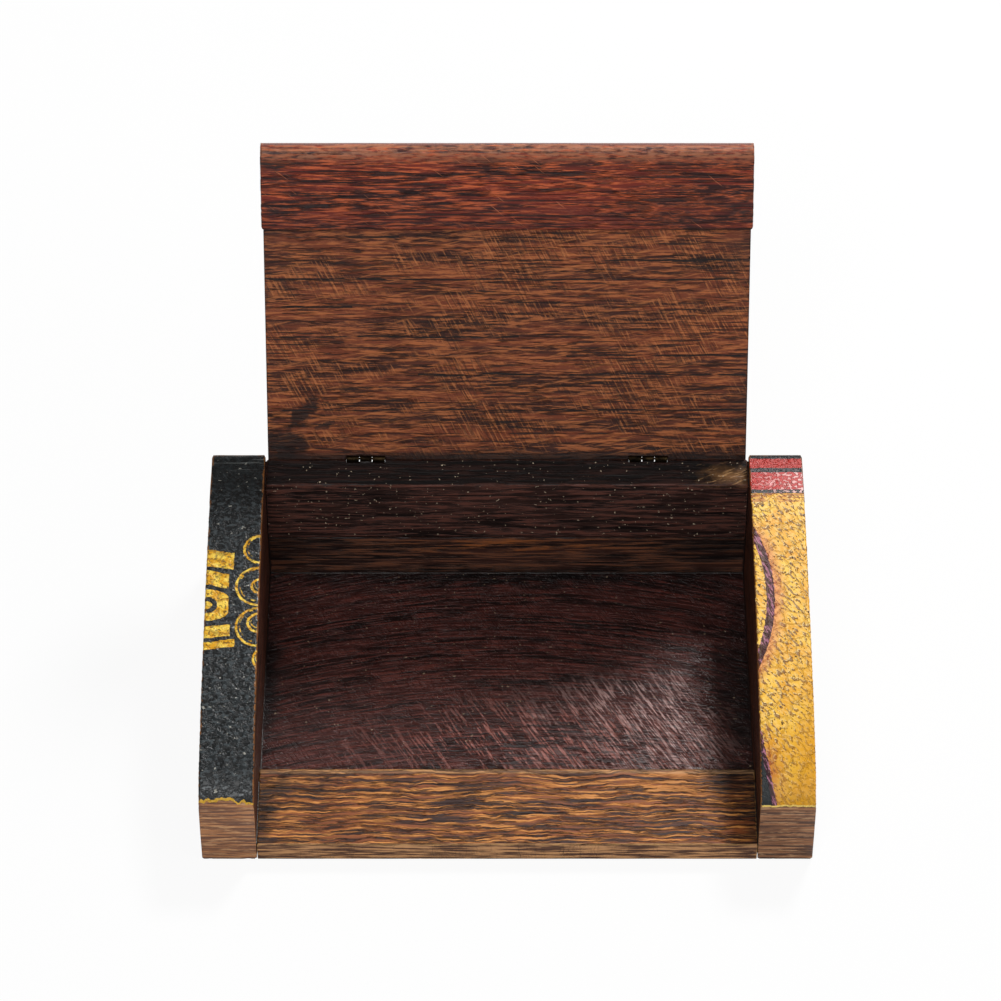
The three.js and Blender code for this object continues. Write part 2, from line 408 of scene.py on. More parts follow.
def carvedSolid(name, section, span, look, cuts=()):
    # a prism with even faces, its corners crisp, its seats and holes cut, its skin left hand-uneven
    piece = prism(name, section, span)
    remesh = piece.modifiers.new("even faces", "REMESH")
    remesh.mode = "VOXEL"
    remesh.voxel_size = look["pitch"]
    soften = piece.modifiers.new("softened edges", "SMOOTH")
    soften.factor = 0.5
    mesh = bakeModifiers(piece)
    points = readVectors(mesh.vertices, "co")
    backToSection(points, section, span, look["pitch"])
    putPoints(mesh, points)
    if cuts:
        cutOut(piece, cuts)
    mesh = piece.data
    points = readVectors(mesh.vertices, "co")
    normals = readVectors(mesh.vertex_normals, "vector")
    writeAttribute(mesh, "edgeDistance", edgeGap(points, section, span))
    writeAttribute(mesh, "grainPlace", points)
    putPoints(mesh, handUneven(points, normals, look))
    smooth(piece)
    return piece, points


def setDown(piece, node, body, materials, move=Matrix.Identity(4)):
    # places the finished mesh, keeps it inside its own solid's box, and hands it to the frame
    mesh = piece.data
    mesh.transform(move)
    low, high = nodeBox(node)
    putPoints(mesh, np.clip(readVectors(mesh.vertices, "co"), low, high) * mm)
    for material in materials:
        mesh.materials.append(material)
    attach(piece, body)
    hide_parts(node)


def facesWhere(piece, test):
    # puts the second material on the faces whose middle and normal pass the test
    mesh = piece.data
    chosen = [1 if test(face.center, face.normal) else 0 for face in mesh.polygons]
    mesh.polygons.foreach_set("material_index", chosen)


# Paint and wood finishes

rearCalm = {"from": 14.0, "to": 24.0, "share": 0.25}


def blackGround(tree, where):
    # brush-stippled black casein paint: raised pebbles painted a little lighter as highlights, pale dust
    # between, and grey painted highlights on the brush strokes and on the wrinkles, which are calmer at the
    # rear
    _, along, _ = separate(tree, where)
    front = fade(tree, along, rearCalm["from"], rearCalm["to"], rearCalm["share"], 1.0)
    pebbles = flecks(tree, where, (2.6, 2.2, 1.0), (0.42, 0.60), seed=1)
    wrinkles = both(tree, flecks(tree, where, (1.8, 1.3, 1.0), (0.52, 0.58), seed=21), front)
    strokes = flecks(tree, where, (1.1, 5.0, 1.0), (0.58, 0.67), turn=35, seed=3)
    dust = flecks(tree, where, (2.3, 1.8, 1.0), (0.67, 0.70), detail=2, seed=6)
    # painted highlights: the pebbles a little lighter than the black, the wrinkles and strokes grey
    colour = layAll(tree, "#090b0c", [
        (pebbles, "#171c1e"), (wrinkles, "#474e51", 0.75), (strokes, "#4e5558", 0.4),
        (dust, "#c9c6ba", 0.6)])
    return colour, anyOf(tree, both(tree, pebbles, 0.6), both(tree, strokes, 0.8), wrinkles)


def crackLines(tree, where, cell, gap):
    # dried paint's shrinkage cracks: the edges between cells, bent a little by the brush ridges
    bent = addNode(tree, "ShaderNodeTexNoise", None, {"Vector": where, "Scale": 1 / cell, "Detail": 3.0})
    pushed = addNode(tree, "ShaderNodeVectorMath", {"operation": "MULTIPLY_ADD"}, {
        0: bent.outputs[1], 1: (cell * 0.9,) * 3, 2: where})
    cells = addNode(tree, "ShaderNodeTexVoronoi", {"feature": "DISTANCE_TO_EDGE"}, {
        "Vector": pushed, "Scale": 1 / cell, "Randomness": 0.85})
    return fade(tree, cells, gap / cell, gap * 0.35 / cell)


def yellowGround(tree, where):
    # thick yellow casein paint, wrinkled as it dried: painted shade in the folds, and a painted highlight on
    # the crest beside each fold
    litSide = addNode(tree, "ShaderNodeVectorMath", {"operation": "ADD"}, {0: where, 1: (0.32, 0.38, 0.0)})
    cloud = flecks(tree, where, (9.0, 12.0, 1.0), (0.35, 0.65), seed=2)
    folds = flecks(tree, where, (1.0, 2.4, 1.0), (0.555, 0.595), turn=-35, detail=2, seed=5)
    crestHighlights = flecks(tree, litSide, (1.0, 2.4, 1.0), (0.54, 0.60), turn=-35, detail=2, seed=5)
    fine = flecks(tree, where, (1.0, 2.0, 1.0), (0.49, 0.57), turn=-50, detail=2, seed=15)
    cells = crackLines(tree, where, 6.0, 0.36)
    pits = flecks(tree, where, (1.8, 2.2, 1.0), (0.66, 0.69), detail=2, seed=8)
    # painted light: the folds dark as shade and the crests pale as highlights
    colour = layAll(tree, "#e6a21c", [
        (cloud, "#fbc845"), (fine, "#ffd47c", 0.5), (crestHighlights, "#fff0c0", 0.5), (cells, "#8a5818", 0.28),
        (folds, "#7a4410", 0.8), (pits, "#2e1b0c", 0.95)])
    sunk = anyOf(tree, folds, both(tree, cells, 0.6), pits)
    raised = both(tree, 0.7, both(tree, crestHighlights, 0.3), "ADD")
    return colour, both(tree, raised, both(tree, sunk, 0.7), "SUBTRACT")


def goldOver(tree, colour, height, where, mask):
    # yellow-gold size paint over the black, thick enough to stand up, grainy where the black shows through,
    # paler in patches painted as highlights
    rubbed = flecks(tree, where, (1.6, 1.3, 1.0), (0.30, 0.38), detail=4, seed=9)
    paintedShine = flecks(tree, where, (2.4, 2.4, 1.0), (0.42, 0.60), seed=11)
    grain = flecks(tree, where, (1.2, 1.0, 1.0), (0.54, 0.60), seed=10)
    splits = both(tree, crackLines(tree, where, 8.0, 0.4), 0.6)
    gold = layAll(tree, "#dfa00c", [
        (paintedShine, "#fbd552"), (anyOf(tree, grain, splits), "#4c340c", 0.75)])
    laid = both(tree, mask, rubbed)
    return layOver(tree, colour, laid, gold), both(tree, height, both(tree, laid, 0.5), "ADD")


def baseStrip(tree, colour, height, where, grounds):
    # the paint stops in a hand-drawn line above the foot, and bare end grain shows below it
    _, up, _ = separate(tree, where)
    wander = flecks(tree, where, (9.0, 30.0, 5.5), (0.3, 0.7), seed=grounds["seed"])
    level = shifted(tree, up, wander, grounds["wander"])
    rim = band(tree, level, 0, grounds["stop"] + grounds["rim"])
    bare = band(tree, level, 0, grounds["stop"])
    lines = flecks(tree, where, (40.0, 1.1, 26.0), (0.42, 0.60), detail=4, seed=13)
    fibres = flecks(tree, where, (9.0, 0.8, 7.0), (0.52, 0.62), seed=15)
    wood = layAll(tree, grounds["woodDark"], [
        (lines, grounds["woodLight"]), (fibres, grounds["woodPale"], 0.6)])
    colour = layAll(tree, colour, [(rim, grounds["rimColour"]), (bare, wood)])
    grain = both(tree, both(tree, bare, lines), 0.4)
    return colour, both(tree, without(tree, height, bare), grain, "ADD")


# Places are (across from the inner edge, along the arch from behind) in mm.
scallops = [
    {"centre": (0.0, 44.4), "radius": 5.9}, {"centre": (0.3, 59.4), "radius": 7.8},
    {"centre": (0.0, 75.4), "radius": 7.7}, {"centre": (-3.2, 87.7), "radius": 4.9},
    {"centre": (0.0, 59.4), "radius": 3.0}, {"centre": (0.0, 73.8), "radius": 3.9},
]
scallopLook = {"inset": 0.4, "width": 0.85, "secondInset": 1.45, "secondWidth": 0.5, "secondShift": 0.5}
target = {"centre": (17.0, 66.9), "dot": 1.5, "inner": 3.2, "plate": 6.2, "widen": 1.3, "end": 10.1}
bars = [
    {"from": 44.6, "to": 51.4, "bend": 1.3, "end": 8.8},
    {"from": 52.8, "to": 58.7, "bend": 1.7, "end": 10.2},
    {"from": 75.4, "to": 79.9, "bend": -0.9, "end": 9.3},
    {"from": 81.4, "to": 84.3, "bend": -1.2, "end": 7.6},
]
barBendFrom, ornamentReach = 18.0, 25.0


def leftOrnament(tree, paint):
    # scallops in doubled strokes at the inner edge, and a target between bent bars at the outer edge
    sketchy = flecks(tree, paint, (2.2, 3.2, 1.0), (0.46, 0.54), detail=2, seed=12)
    strokes = []
    for scallop in scallops:
        (x, y), radius = scallop["centre"], scallop["radius"]
        strokes.append(ring(tree, paint, (x, y), radius - scallopLook["inset"], scallopLook["width"]))
        second = ring(tree, paint, (x, y - scallopLook["secondShift"]), radius - scallopLook["secondInset"],
                      scallopLook["secondWidth"])
        strokes.append(both(tree, second, sketchy))
    across, along, _ = separate(tree, paint)
    plate = ring(tree, paint, target["centre"], target["plate"] / 2, target["plate"], target["widen"])
    hole = ring(tree, paint, target["centre"], (target["dot"] + target["inner"]) / 2,
                target["inner"] - target["dot"])
    cutOff = band(tree, across, target["end"], ornamentReach)
    strokes.append(both(tree, without(tree, plate, hole), cutOff))
    for bar in bars:
        bend = fade(tree, across, barBendFrom, bar["end"], 0.0, bar["bend"])
        bent = band(tree, shifted(tree, along, bend, -1.0), bar["from"], bar["to"])
        strokes.append(both(tree, bent, band(tree, across, bar["end"], ornamentReach)))
    return anyOf(tree, *strokes)


leftPaint = {
    "stop": 28.3, "wander": 2.2, "rim": 0.75, "rimColour": "#e0ad30", "seed": 21,
    "woodDark": "#68402a", "woodLight": "#b07648", "woodPale": "#dca876",
    "rearRub": (-5.0, 11.0),
}


def paintedBlackEnd():
    # casein paint on hardwood, brushed and stippled: near black with painted highlights on its pebbles,
    # strokes and wrinkles, rubbed at the edges
    material, tree = startMaterial("black casein paint with gold ornament")
    where, paint = place(tree), place(tree, "paintPlace")
    colour, height = blackGround(tree, paint)
    _, along, _ = separate(tree, paint)
    rubs = flecks(tree, paint, (16.0, 0.9, 1.0), (0.54, 0.66), detail=4, seed=2)
    rearRub = both(tree, rubs, band(tree, along, *leftPaint["rearRub"]))
    colour = layOver(tree, colour, rearRub, "#7a7f7d", 0.6)
    mask = leftOrnament(tree, brushed(tree, paint, 0.7))
    colour, height = goldOver(tree, colour, height, paint, mask)
    colour = layOver(tree, colour, wornEdges(tree, where, 0.45, 1.0), "#96602f", 0.85)
    colour, height = baseStrip(tree, colour, height, where, leftPaint)
    return endMaterial(material, colour, 0.34, height, 0.32)


rightPaint = {
    "stop": 26.6, "wander": 0.7, "rim": 0.55, "rimColour": "#f0cd6a", "seed": 33,
    "woodDark": "#4e3020", "woodLight": "#966440", "woodPale": "#c89a70",
    "rearBands": [(-60.0, 4.6, "#1c2326"), (4.6, 8.9, "#b42014"), (8.9, 10.9, "#1a2124"),
                  (10.9, 18.9, "#bb2a24"), (18.9, 20.6, "#1a2124")],
    "crinkled": (10.9, 20.6), "seam": (20.6, 24.6),
    "arcCentre": (-61.0, 63.0, 0.0), "arcRadius": 66.2, "arcWidth": 2.7,
    "glow": {"reach": 8.0, "fade": (6.5, 1.0), "rear": (26.0, 44.0)},
    "lineStart": (0.2, 116.5), "lineSlope": 0.19, "lineWidth": 1.5, "lineAcross": (-1.0, 8.0),
    "wedgeWidth": 40.0, "wedgeEnd": 150.0,
    "deep": {"slope": 3.2, "fade": (120.0, 185.0)},
    "foot": {"centre": (0.5, 132.0, 0.0), "size": (9.0, 26.0, 60.0)},
}


def rightOrnament(tree, colour, paint):
    # one arc with a glow outside it, a leaning line that closes a black wedge, and bands behind
    drawn = brushed(tree, paint, 0.8)
    across, along, _ = separate(tree, drawn)
    deep, foot = rightPaint["deep"], rightPaint["foot"]
    deepened = fade(tree, shifted(tree, along, across, deep["slope"]), *deep["fade"])
    warmed = spot(tree, paint, foot["centre"], foot["size"], ragged=0.15, core=0.1)
    reach = reachFrom(tree, drawn, rightPaint["arcCentre"])
    radius, half, look = rightPaint["arcRadius"], rightPaint["arcWidth"] / 2, rightPaint["glow"]
    glow = fade(tree, reach, radius + look["fade"][0], radius + look["fade"][1])
    glow = both(tree, glow, band(tree, reach, radius, radius + look["reach"]))
    glow = both(tree, glow, fade(tree, along, *look["rear"]))
    strokes = flecks(tree, paint, (1.2, 4.5, 1.0), (0.40, 0.58), turn=50, seed=18)
    flush = layOver(tree, "#a8452a", strokes, "#eb9a63")
    arc = band(tree, reach, radius - half, radius + half)
    start, slope, half = rightPaint["lineStart"], rightPaint["lineSlope"], rightPaint["lineWidth"] / 2
    lean = shifted(tree, across, along, -slope)
    edge = start[0] - slope * start[1]
    line = both(tree, band(tree, lean, edge - half, edge + half),
                band(tree, across, *rightPaint["lineAcross"]))
    wedge = both(tree, band(tree, lean, edge - rightPaint["wedgeWidth"], edge),
                 band(tree, along, start[1], rightPaint["wedgeEnd"]))
    violet = flecks(tree, paint, (0.9, 4.5, 1.0), (0.50, 0.58), turn=-24, seed=17)
    maroon = layOver(tree, "#36101a", violet, "#b0718a")
    colour = layAll(tree, colour, [
        (deepened, "#e09c00", 0.8), (glow, flush, 0.8), (warmed, "#b24a22", 0.7), (wedge, "#23282a"),
        (anyOf(tree, arc, line), maroon, 0.95)])
    return layBands(tree, colour, along, rightPaint["rearBands"]), across, along


def paintedYellowEnd():
    # the same paint in yellow, thicker and wrinkled, with a glossy crinkled red band behind, its crinkles
    # painted pink-white as highlights toward the outer edge
    material, tree = startMaterial("crackled yellow casein paint with red bands")
    where, paint = place(tree), place(tree, "paintPlace")
    colour, height = yellowGround(tree, paint)
    colour, across, along = rightOrnament(tree, colour, paint)
    crinkle = flecks(tree, paint, (1.3, 1.1, 1.0), (0.49, 0.56), detail=2, seed=19)
    rear = band(tree, along, rightPaint["rearBands"][0][0], rightPaint["rearBands"][-1][1])
    outward = addNode(tree, "ShaderNodeMapRange", None, {0: across, 1: 1.0, 2: 17.0, 3: 0.2, 4: 0.85})
    broad = both(tree, band(tree, along, *rightPaint["crinkled"]), outward)
    # pink-white painted highlights on the red band's crinkles, growing toward the outer edge
    pale = both(tree, crinkle, anyOf(tree, broad, both(tree, rear, 0.06)))
    torn = flecks(tree, paint, (5.0, 1.0, 1.0), (0.46, 0.54), seed=39)
    seam = both(tree, torn, band(tree, along, *rightPaint["seam"]))
    height = both(tree, without(tree, height, rear), both(tree, rear, crinkle), "ADD")
    colour = layAll(tree, colour, [
        (pale, "#f6c6c0"), (seam, "#a4562a", 0.7), (wornEdges(tree, where, 0.35, 0.8), "#7d4f26", 0.8)])
    colour, height = baseStrip(tree, colour, height, where, rightPaint)
    roughness = addNode(tree, "ShaderNodeMapRange", None, {0: rear, 3: 0.46, 4: 0.30})
    return endMaterial(material, colour, roughness, height, 0.4, specular=0.4)


def bareEndWood():
    # stained hardwood inside the ends, hand planed: brown fibres, paler and rubbed along the rim
    material, tree = startMaterial("stained hardwood end, hand planed")
    where = place(tree)
    colour, broad, fine = mottledWood(tree, where, ("#160a07", "#3b1b10", "#6e3a20"), (14.0, 1.0, 3.0))
    colour = layAll(tree, colour, [
        (wornEdges(tree, where, 2.6, 1.4), "#8e5a2c", 0.8),
        (wornEdges(tree, where, 0.5, 0.6), "#b98a52", 0.6)])
    height = both(tree, fine, both(tree, broad, 0.5), "ADD")
    return endMaterial(material, colour, 0.5, height, 0.2, specular=0.3)


def curvedPlace(tree, where, bow):
    # bends the grain's lines into shallow arches by bow mm for each mm squared
    along, across, depth = separate(tree, where)
    squared = addNode(tree, "ShaderNodeMath", {"operation": "MULTIPLY"}, {0: along, 1: along})
    lifted = shifted(tree, across, squared, bow)
    return addNode(tree, "ShaderNodeCombineXYZ", None, {0: along, 1: lifted, 2: depth})


panelMarks = {
    "lines": [(80.2, -81, -36), (65.3, -81, 81), (55.6, -81, -52), (44.8, -81, 4), (31.2, -30, 81),
              (18.2, -81, 81), (72.0, -10, 81), (38.0, 20, 81)],
    "lineHalf": 0.32, "foot": (4.6, 1.2),
    "smudges": {"colour": "#141012", "share": 0.9, "ragged": 0.5, "core": 0.5, "places": [
        ((-69, 17.5, 0), (9, 3.6, 6), 50), ((-77, 6.5, 0), (10, 6, 6), 0),
        ((-62, 12.5, 0), (4, 1.6, 6), 20)]},
    "corners": {"colour": "#241a1a", "share": 0.55, "ragged": 0.3, "core": 0.0, "places": [
        ((-81, 84, 0), (16, 9, 30), 0), ((81, 80, 0), (12, 16, 30), 0), ((81, 22, 0), (10, 22, 30), 0)]},
}


def lidPanelWood():
    # rosewood-coloured hardwood, coarsely sanded: short dark pores, slanting marks from the grit, and
    # painted shade at the hinge end
    material, tree = startMaterial("oiled hardwood panel, sanded across the grain")
    where = place(tree)
    colour, _, fine = mottledWood(tree, where, ("#3e1d14", "#7a3b22", "#bf6f3f"), (8.0, 0.8, 2.0), seed=3)
    pores = flecks(tree, where, (11.0, 0.8, 2.0), (0.555, 0.61), seed=7)
    longPores = flecks(tree, where, (34.0, 1.0, 3.0), (0.60, 0.65), seed=12)
    zones = flecks(tree, where, (22.0, 13.0, 9.0), (0.46, 0.58), detail=2, seed=14)
    sanded = flecks(tree, where, (11.0, 0.8, 4.0), (0.50, 0.60), turn=-63, detail=2, seed=4)
    pale = flecks(tree, where, (11.0, 0.8, 4.0), (0.53, 0.62), turn=-63, detail=2, seed=24)
    sanded, pale = both(tree, sanded, zones), both(tree, pale, zones)
    shallow = flecks(tree, where, (24.0, 0.9, 4.0), (0.60, 0.67), turn=14, detail=2, seed=9)
    along, across, _ = separate(tree, brushed(tree, where, 1.6, 14.0))
    half = panelMarks["lineHalf"]
    lines = [both(tree, band(tree, across, height - half, height + half), band(tree, along, low, high))
             for height, low, high in panelMarks["lines"]]
    broken = flecks(tree, where, (9.0, 1.4, 2.0), (0.38, 0.50), detail=2, seed=18)
    ruled = both(tree, anyOf(tree, *lines), broken)
    colour = layAll(tree, colour, [
        (pale, "#d0824c", 0.5), (shallow, "#bd7440", 0.5), (sanded, "#2c1813", 0.5), (pores, "#1f1210", 0.8),
        (longPores, "#160e0e", 0.85), (ruled, "#100909", 0.95)])
    colour = layPatches(tree, where, colour, panelMarks["smudges"], both(tree, fine, 0.6, "ADD"))
    colour = layPatches(tree, where, colour, panelMarks["corners"])
    # the foot's near-black is painted shade at the hinge end, where the lid meets the rail
    colour = layAll(tree, colour, [
        (fade(tree, across, *panelMarks["foot"]), "#120b0b", 0.9),
        (wornEdges(tree, where, 0.5, 0.8), "#2c1a14", 0.6)])
    height = relief(tree, anyOf(tree, pores, longPores, sanded, ruled), fine, 0.7)
    return endMaterial(material, colour, 0.45, height, 0.22, specular=0.35)


stripStains = {"colour": "#1b1618", "share": 0.85, "ragged": 0.6, "core": 0.0, "places": [
    ((-76, 91, 0), (9, 4, 30), 0), ((78, 92, 0), (7, 5, 30), 0), ((-77, 106, 0), (8, 9, 30), 0)]}


# shade is painted shade toward the panel; rubbed is the nose, worn smooth and given a painted pink highlight
stripZones = {"shade": (97.0, 88.0), "rubbed": (106.0, 110.0)}


def redStripWood():
    # heartwood lipping, stained red and waxed: long black streaks, painted shade toward the panel, and the
    # nose rubbed smooth and painted pale pink as a highlight
    material, tree = startMaterial("red-stained heartwood, waxed")
    where = place(tree)
    colour, _, fine = mottledWood(tree, where, ("#300b09", "#7c2816", "#dc6a3a"), (10.0, 0.8, 2.0), seed=6)
    streaks = flecks(tree, where, (40.0, 1.2, 3.0), (0.55, 0.61), detail=4, seed=5)
    pores = flecks(tree, where, (11.0, 0.8, 2.0), (0.56, 0.62), seed=8)
    scratches = flecks(tree, where, (16.0, 0.8, 3.0), (0.70, 0.73), turn=-38, detail=2, seed=28)
    broken = flecks(tree, where, (7.0, 1.6, 3.0), (0.36, 0.58), detail=4, seed=38)
    specks = flecks(tree, where, (4.0, 1.0, 2.0), (0.34, 0.58), seed=16)
    _, across, _ = separate(tree, where)
    shade = fade(tree, across, *stripZones["shade"])
    rubbed = fade(tree, across, *stripZones["rubbed"])
    colour = layAll(tree, colour, [(streaks, "#190b0c", 0.85), (pores, "#170b0c", 0.75)])
    colour = layPatches(tree, where, colour, stripStains, broken)
    # the rubbed nose's pale pink specks are a painted highlight as well as wear
    colour = layAll(tree, colour, [
        (shade, "#260b0a", 0.3), (both(tree, rubbed, specks), "#b3704e", 0.8), (scratches, "#d07a50", 0.6),
        (wornEdges(tree, where, 0.45, 0.8), "#2a1512", 0.5)])
    height = relief(tree, without(tree, anyOf(tree, streaks, pores), rubbed), fine, 0.7)
    return endMaterial(material, colour, 0.4, height, 0.28, specular=0.4)


# The lid's places are (across from the middle, along the arch from the hinge) in mm.
goldRings = [((-82.0, 44.4), 5.4, 1.1), ((-82.3, 59.4), 7.3, 1.1), ((-82.0, 75.4), 7.2, 1.1),
             ((-82.0, 59.4), 2.5, 1.1), ((-82.0, 73.8), 3.4, 1.1), ((-48.0, 62.0), 17.0, 2.6)]
goldRings += [((-48.0, 62.0), radius, 1.1) for radius in (3.0, 7.5, 12.0)]
goldRings += [((-20.0, 25.0 + 12.5 * step), 4.6, 1.1) for step in range(7)]
redRings = [((21.0, 63.0), 66.2, 1.9, "#6b3040"), ((46.0, 62.0), 17.0, 2.2, "#6b3040"),
            ((46.0, 62.0), 4.5, 9.0, "#bd433b")]
lidBands = [(-11.0, 5.0, "#1a2124"), (-9.5, 3.5, "#c4463d")]
blackPart = (-100.0, -8.0)
noseBand = [(108.6, 120.0, "#7a3a26")]


def paintedLidTop():
    # the ends' paints meeting on the lid's back: black with gold on the left, crackled yellow on the right
    material, tree = startMaterial("casein paint over the lid's arch")
    where, paint = place(tree), place(tree, "paintPlace")
    black, blackHeight = blackGround(tree, paint)
    yellow, yellowHeight = yellowGround(tree, paint)
    drawn = brushed(tree, paint, 0.7)
    across, along, _ = separate(tree, drawn)
    lines = [ring(tree, drawn, *one) for one in goldRings]
    black, blackHeight = goldOver(tree, black, blackHeight, paint, anyOf(tree, *lines))
    for centre, radius, width, code in redRings:
        yellow = layOver(tree, yellow, ring(tree, drawn, centre, radius, width), code, 0.94)
    yellow = layBands(tree, yellow, along, rightPaint["rearBands"])
    leftSide = band(tree, across, *blackPart)
    height = addNode(tree, "ShaderNodeMix", {"data_type": "FLOAT"}, {
        0: leftSide, 2: yellowHeight, 3: blackHeight})
    colour = layOver(tree, yellow, leftSide, black)
    colour = layBands(tree, colour, across, lidBands)
    _, run, _ = separate(tree, brushed(tree, where, 0.6))
    colour = layBands(tree, colour, run, noseBand)
    colour = layOver(tree, colour, wornEdges(tree, where, 0.5, 1.0), "#7d5230", 0.8)
    return endMaterial(material, colour, 0.38, height, 0.3)


railZones = {
    "split": (42.6, 43.1), "wander": 1.6, "shadedTop": (57.8, 58.6),
    "bare": {"centre": (76.0, 61.0, 48.5), "size": (11.0, 5.5, 5.0)},
    "scratched": {"centre": (74.0, 61.0, 48.5), "size": (14.0, 6.0, 5.0)},
}


def darkRailWood():
    # stained almost black and waxed by handling: dust specks, a golden patch rubbed bare, and painted shade
    # over the top under the lid
    material, tree = startMaterial("dark-stained hardwood rail, waxed")
    where = place(tree)
    colour, broad, fine = mottledWood(
        tree, where, ("#160e0d", "#33201c", "#6e443a"), (14.0, 1.0, 1.0), (50.0, 2.5, 2.5), seed=8)
    _, depth, up = separate(tree, where)
    wander = flecks(tree, where, (26.0, 30.0, 30.0), (0.2, 0.8), detail=2, seed=3)
    parts = flecks(tree, where, (22.0, 6.0, 6.0), (0.44, 0.52), detail=2, seed=9)
    level = shifted(tree, up, wander, railZones["wander"])
    split = both(tree, band(tree, level, *railZones["split"]), parts)
    bare = spot(tree, where, **railZones["bare"], ragged=0.4, core=0.0)
    scratch = flecks(tree, where, (7.0, 0.8, 0.8), (0.55, 0.63), detail=2, turn=20, seed=2)
    near = spot(tree, where, **railZones["scratched"], ragged=0.2, core=0.1)
    dust = flecks(tree, where, (1.1, 1.0, 1.0), (0.72, 0.75), detail=1, seed=31)
    # painted shade: the rail's top behind its front edge nearly black, under the lid
    colour = layAll(tree, colour, [
        (split, "#060304", 0.9), (fade(tree, depth, *railZones["shadedTop"]), "#080404", 0.8),
        (bare, "#94683e", 0.75),
        (both(tree, scratch, near), "#c99a66", 0.7), (dust, "#d8c4a8", 0.8),
        (wornEdges(tree, where, 0.4, 0.5), "#5c3428", 0.7)])
    height = both(tree, fine, both(tree, broad, 0.4), "ADD")
    return endMaterial(material, colour, 0.45, height, 0.2, specular=0.25)


boardEnds = {"colour": "#0e0a0a", "share": 0.6, "ragged": 0.3, "core": 0.0, "places": [
    ((-74.0, 57.0, 17.0), (26.0, 20.0, 14.0), 0), ((74.0, 57.0, 17.0), (26.0, 20.0, 14.0), 0)]}


boardZones = {
    "warm": {"centre": (2.0, 57.0, 17.0), "size": (60.0, 20.0, 5.0)},
    "bottom": {"centre": (0.0, 57.0, 2.0), "size": (140.0, 20.0, 5.0)},
}


def darkBoardWood():
    # the board below, less worn: orange heart streaks under the same dark stain
    material, tree = startMaterial("dark-stained hardwood board")
    where = place(tree)
    colour, broad, fine = mottledWood(
        tree, where, ("#1a1211", "#3f251e", "#7c4e38"), (16.0, 1.0, 0.9), (55.0, 2.8, 2.2), seed=11)
    warm = spot(tree, where, **boardZones["warm"], ragged=0.25, core=0.0)
    bottom = spot(tree, where, **boardZones["bottom"], ragged=0.2, core=0.3)
    colour = layOver(tree, colour, both(tree, warm, fine), "#a8602c", 0.7)
    colour = layPatches(tree, where, colour, boardEnds)
    colour = layAll(tree, colour, [
        (bottom, "#0c0708", 0.8), (wornEdges(tree, where, 0.6, 0.7), "#0d0708", 0.8)])
    height = both(tree, fine, both(tree, broad, 0.4), "ADD")
    return endMaterial(material, colour, 0.45, height, 0.2, specular=0.3)


# painted shade on the floor along both ends and the rear
floorEdgeShade = {"colour": "#080405", "share": 0.85, "ragged": 0.35, "core": 0.2, "places": [
    ((-82, 5, 0), (7, 46, 60), 0), ((83, 2, 0), (15, 60, 60), 0), ((0, 57, 0), (120, 8, 60), 0)]}


floorZones = {
    "bow": 0.0019,
    "front": {"centre": (10.0, -20.0, 0.0), "size": (84.0, 26.0, 60.0)},
    "paintedShine": {"centre": (44.0, -14.0, 0.0), "size": (46.0, 34.0, 60.0)},
}


def floorWood():
    # red-stained board, varnished: arched figure, cross-hatched sanding; painted light: a lighter hatch at
    # the front, a sheen patch with pale glints, shade along the ends and the rear
    material, tree = startMaterial("red-stained board, varnished over coarse sanding")
    where = place(tree)
    bowed = curvedPlace(tree, where, floorZones["bow"])
    colour, _, fine = mottledWood(tree, bowed, ("#1c0d0c", "#44201c", "#713931"), (12.0, 0.8, 2.0), seed=5)
    streaks = flecks(tree, bowed, (34.0, 1.2, 3.0), (0.54, 0.61), detail=4, seed=15)
    front = spot(tree, where, **floorZones["front"], ragged=0.2, core=0.1)
    hatch = flecks(tree, where, (9.0, 0.8, 4.0), (0.52, 0.59), turn=-60, detail=2, seed=6)
    level = flecks(tree, where, (10.0, 1.0, 4.0), (0.52, 0.58), seed=26)
    paintedShine = spot(tree, where, **floorZones["paintedShine"], ragged=0.45, core=-0.1)
    sheen = flecks(tree, where, (7.0, 0.7, 4.0), (0.52, 0.58), turn=-60, detail=2, seed=46)
    dust = flecks(tree, where, (1.5, 1.2, 2.0), (0.73, 0.76), detail=1, seed=41)
    # painted light: the lighter hatch at the front, the sheen patch, and its pale glints on the sanding
    # marks
    colour = layAll(tree, colour, [
        (streaks, "#0f0807", 0.5), (paintedShine, "#56322f", 0.4), (both(tree, front, hatch), "#b06e62", 0.7),
        (both(tree, paintedShine, sheen), "#e6bcb4", 0.5), (both(tree, front, level), "#180909", 0.9)])
    # painted shade along both ends and the rear, next to the end blocks and the back boards
    colour = layPatches(tree, where, colour, floorEdgeShade)
    colour = layOver(tree, colour, dust, "#b8a184", 0.6)
    height = relief(tree, anyOf(tree, hatch, level, both(tree, streaks, 0.6)), fine, 0.75)
    return endMaterial(material, colour, 0.30, height, 0.5)


sillDirt = {"colour": "#140b09", "share": 0.92, "ragged": 0.5, "core": 0.1, "places": [
    ((-82, -52, 0), (9, 20, 60), 0), ((-70, -42, 0), (18, 6, 60), 0), ((83, -46, 0), (11, 28, 60), 0),
    ((78, -36, 0), (24, 15, 60), 0)]}


sillZones = {
    "rim": (-38.4, -37.0), "face": (-80.0, -66.0),
    "rearShade": {"centre": (0, -35.0, 0), "size": (130.0, 9.0, 60.0)},
}


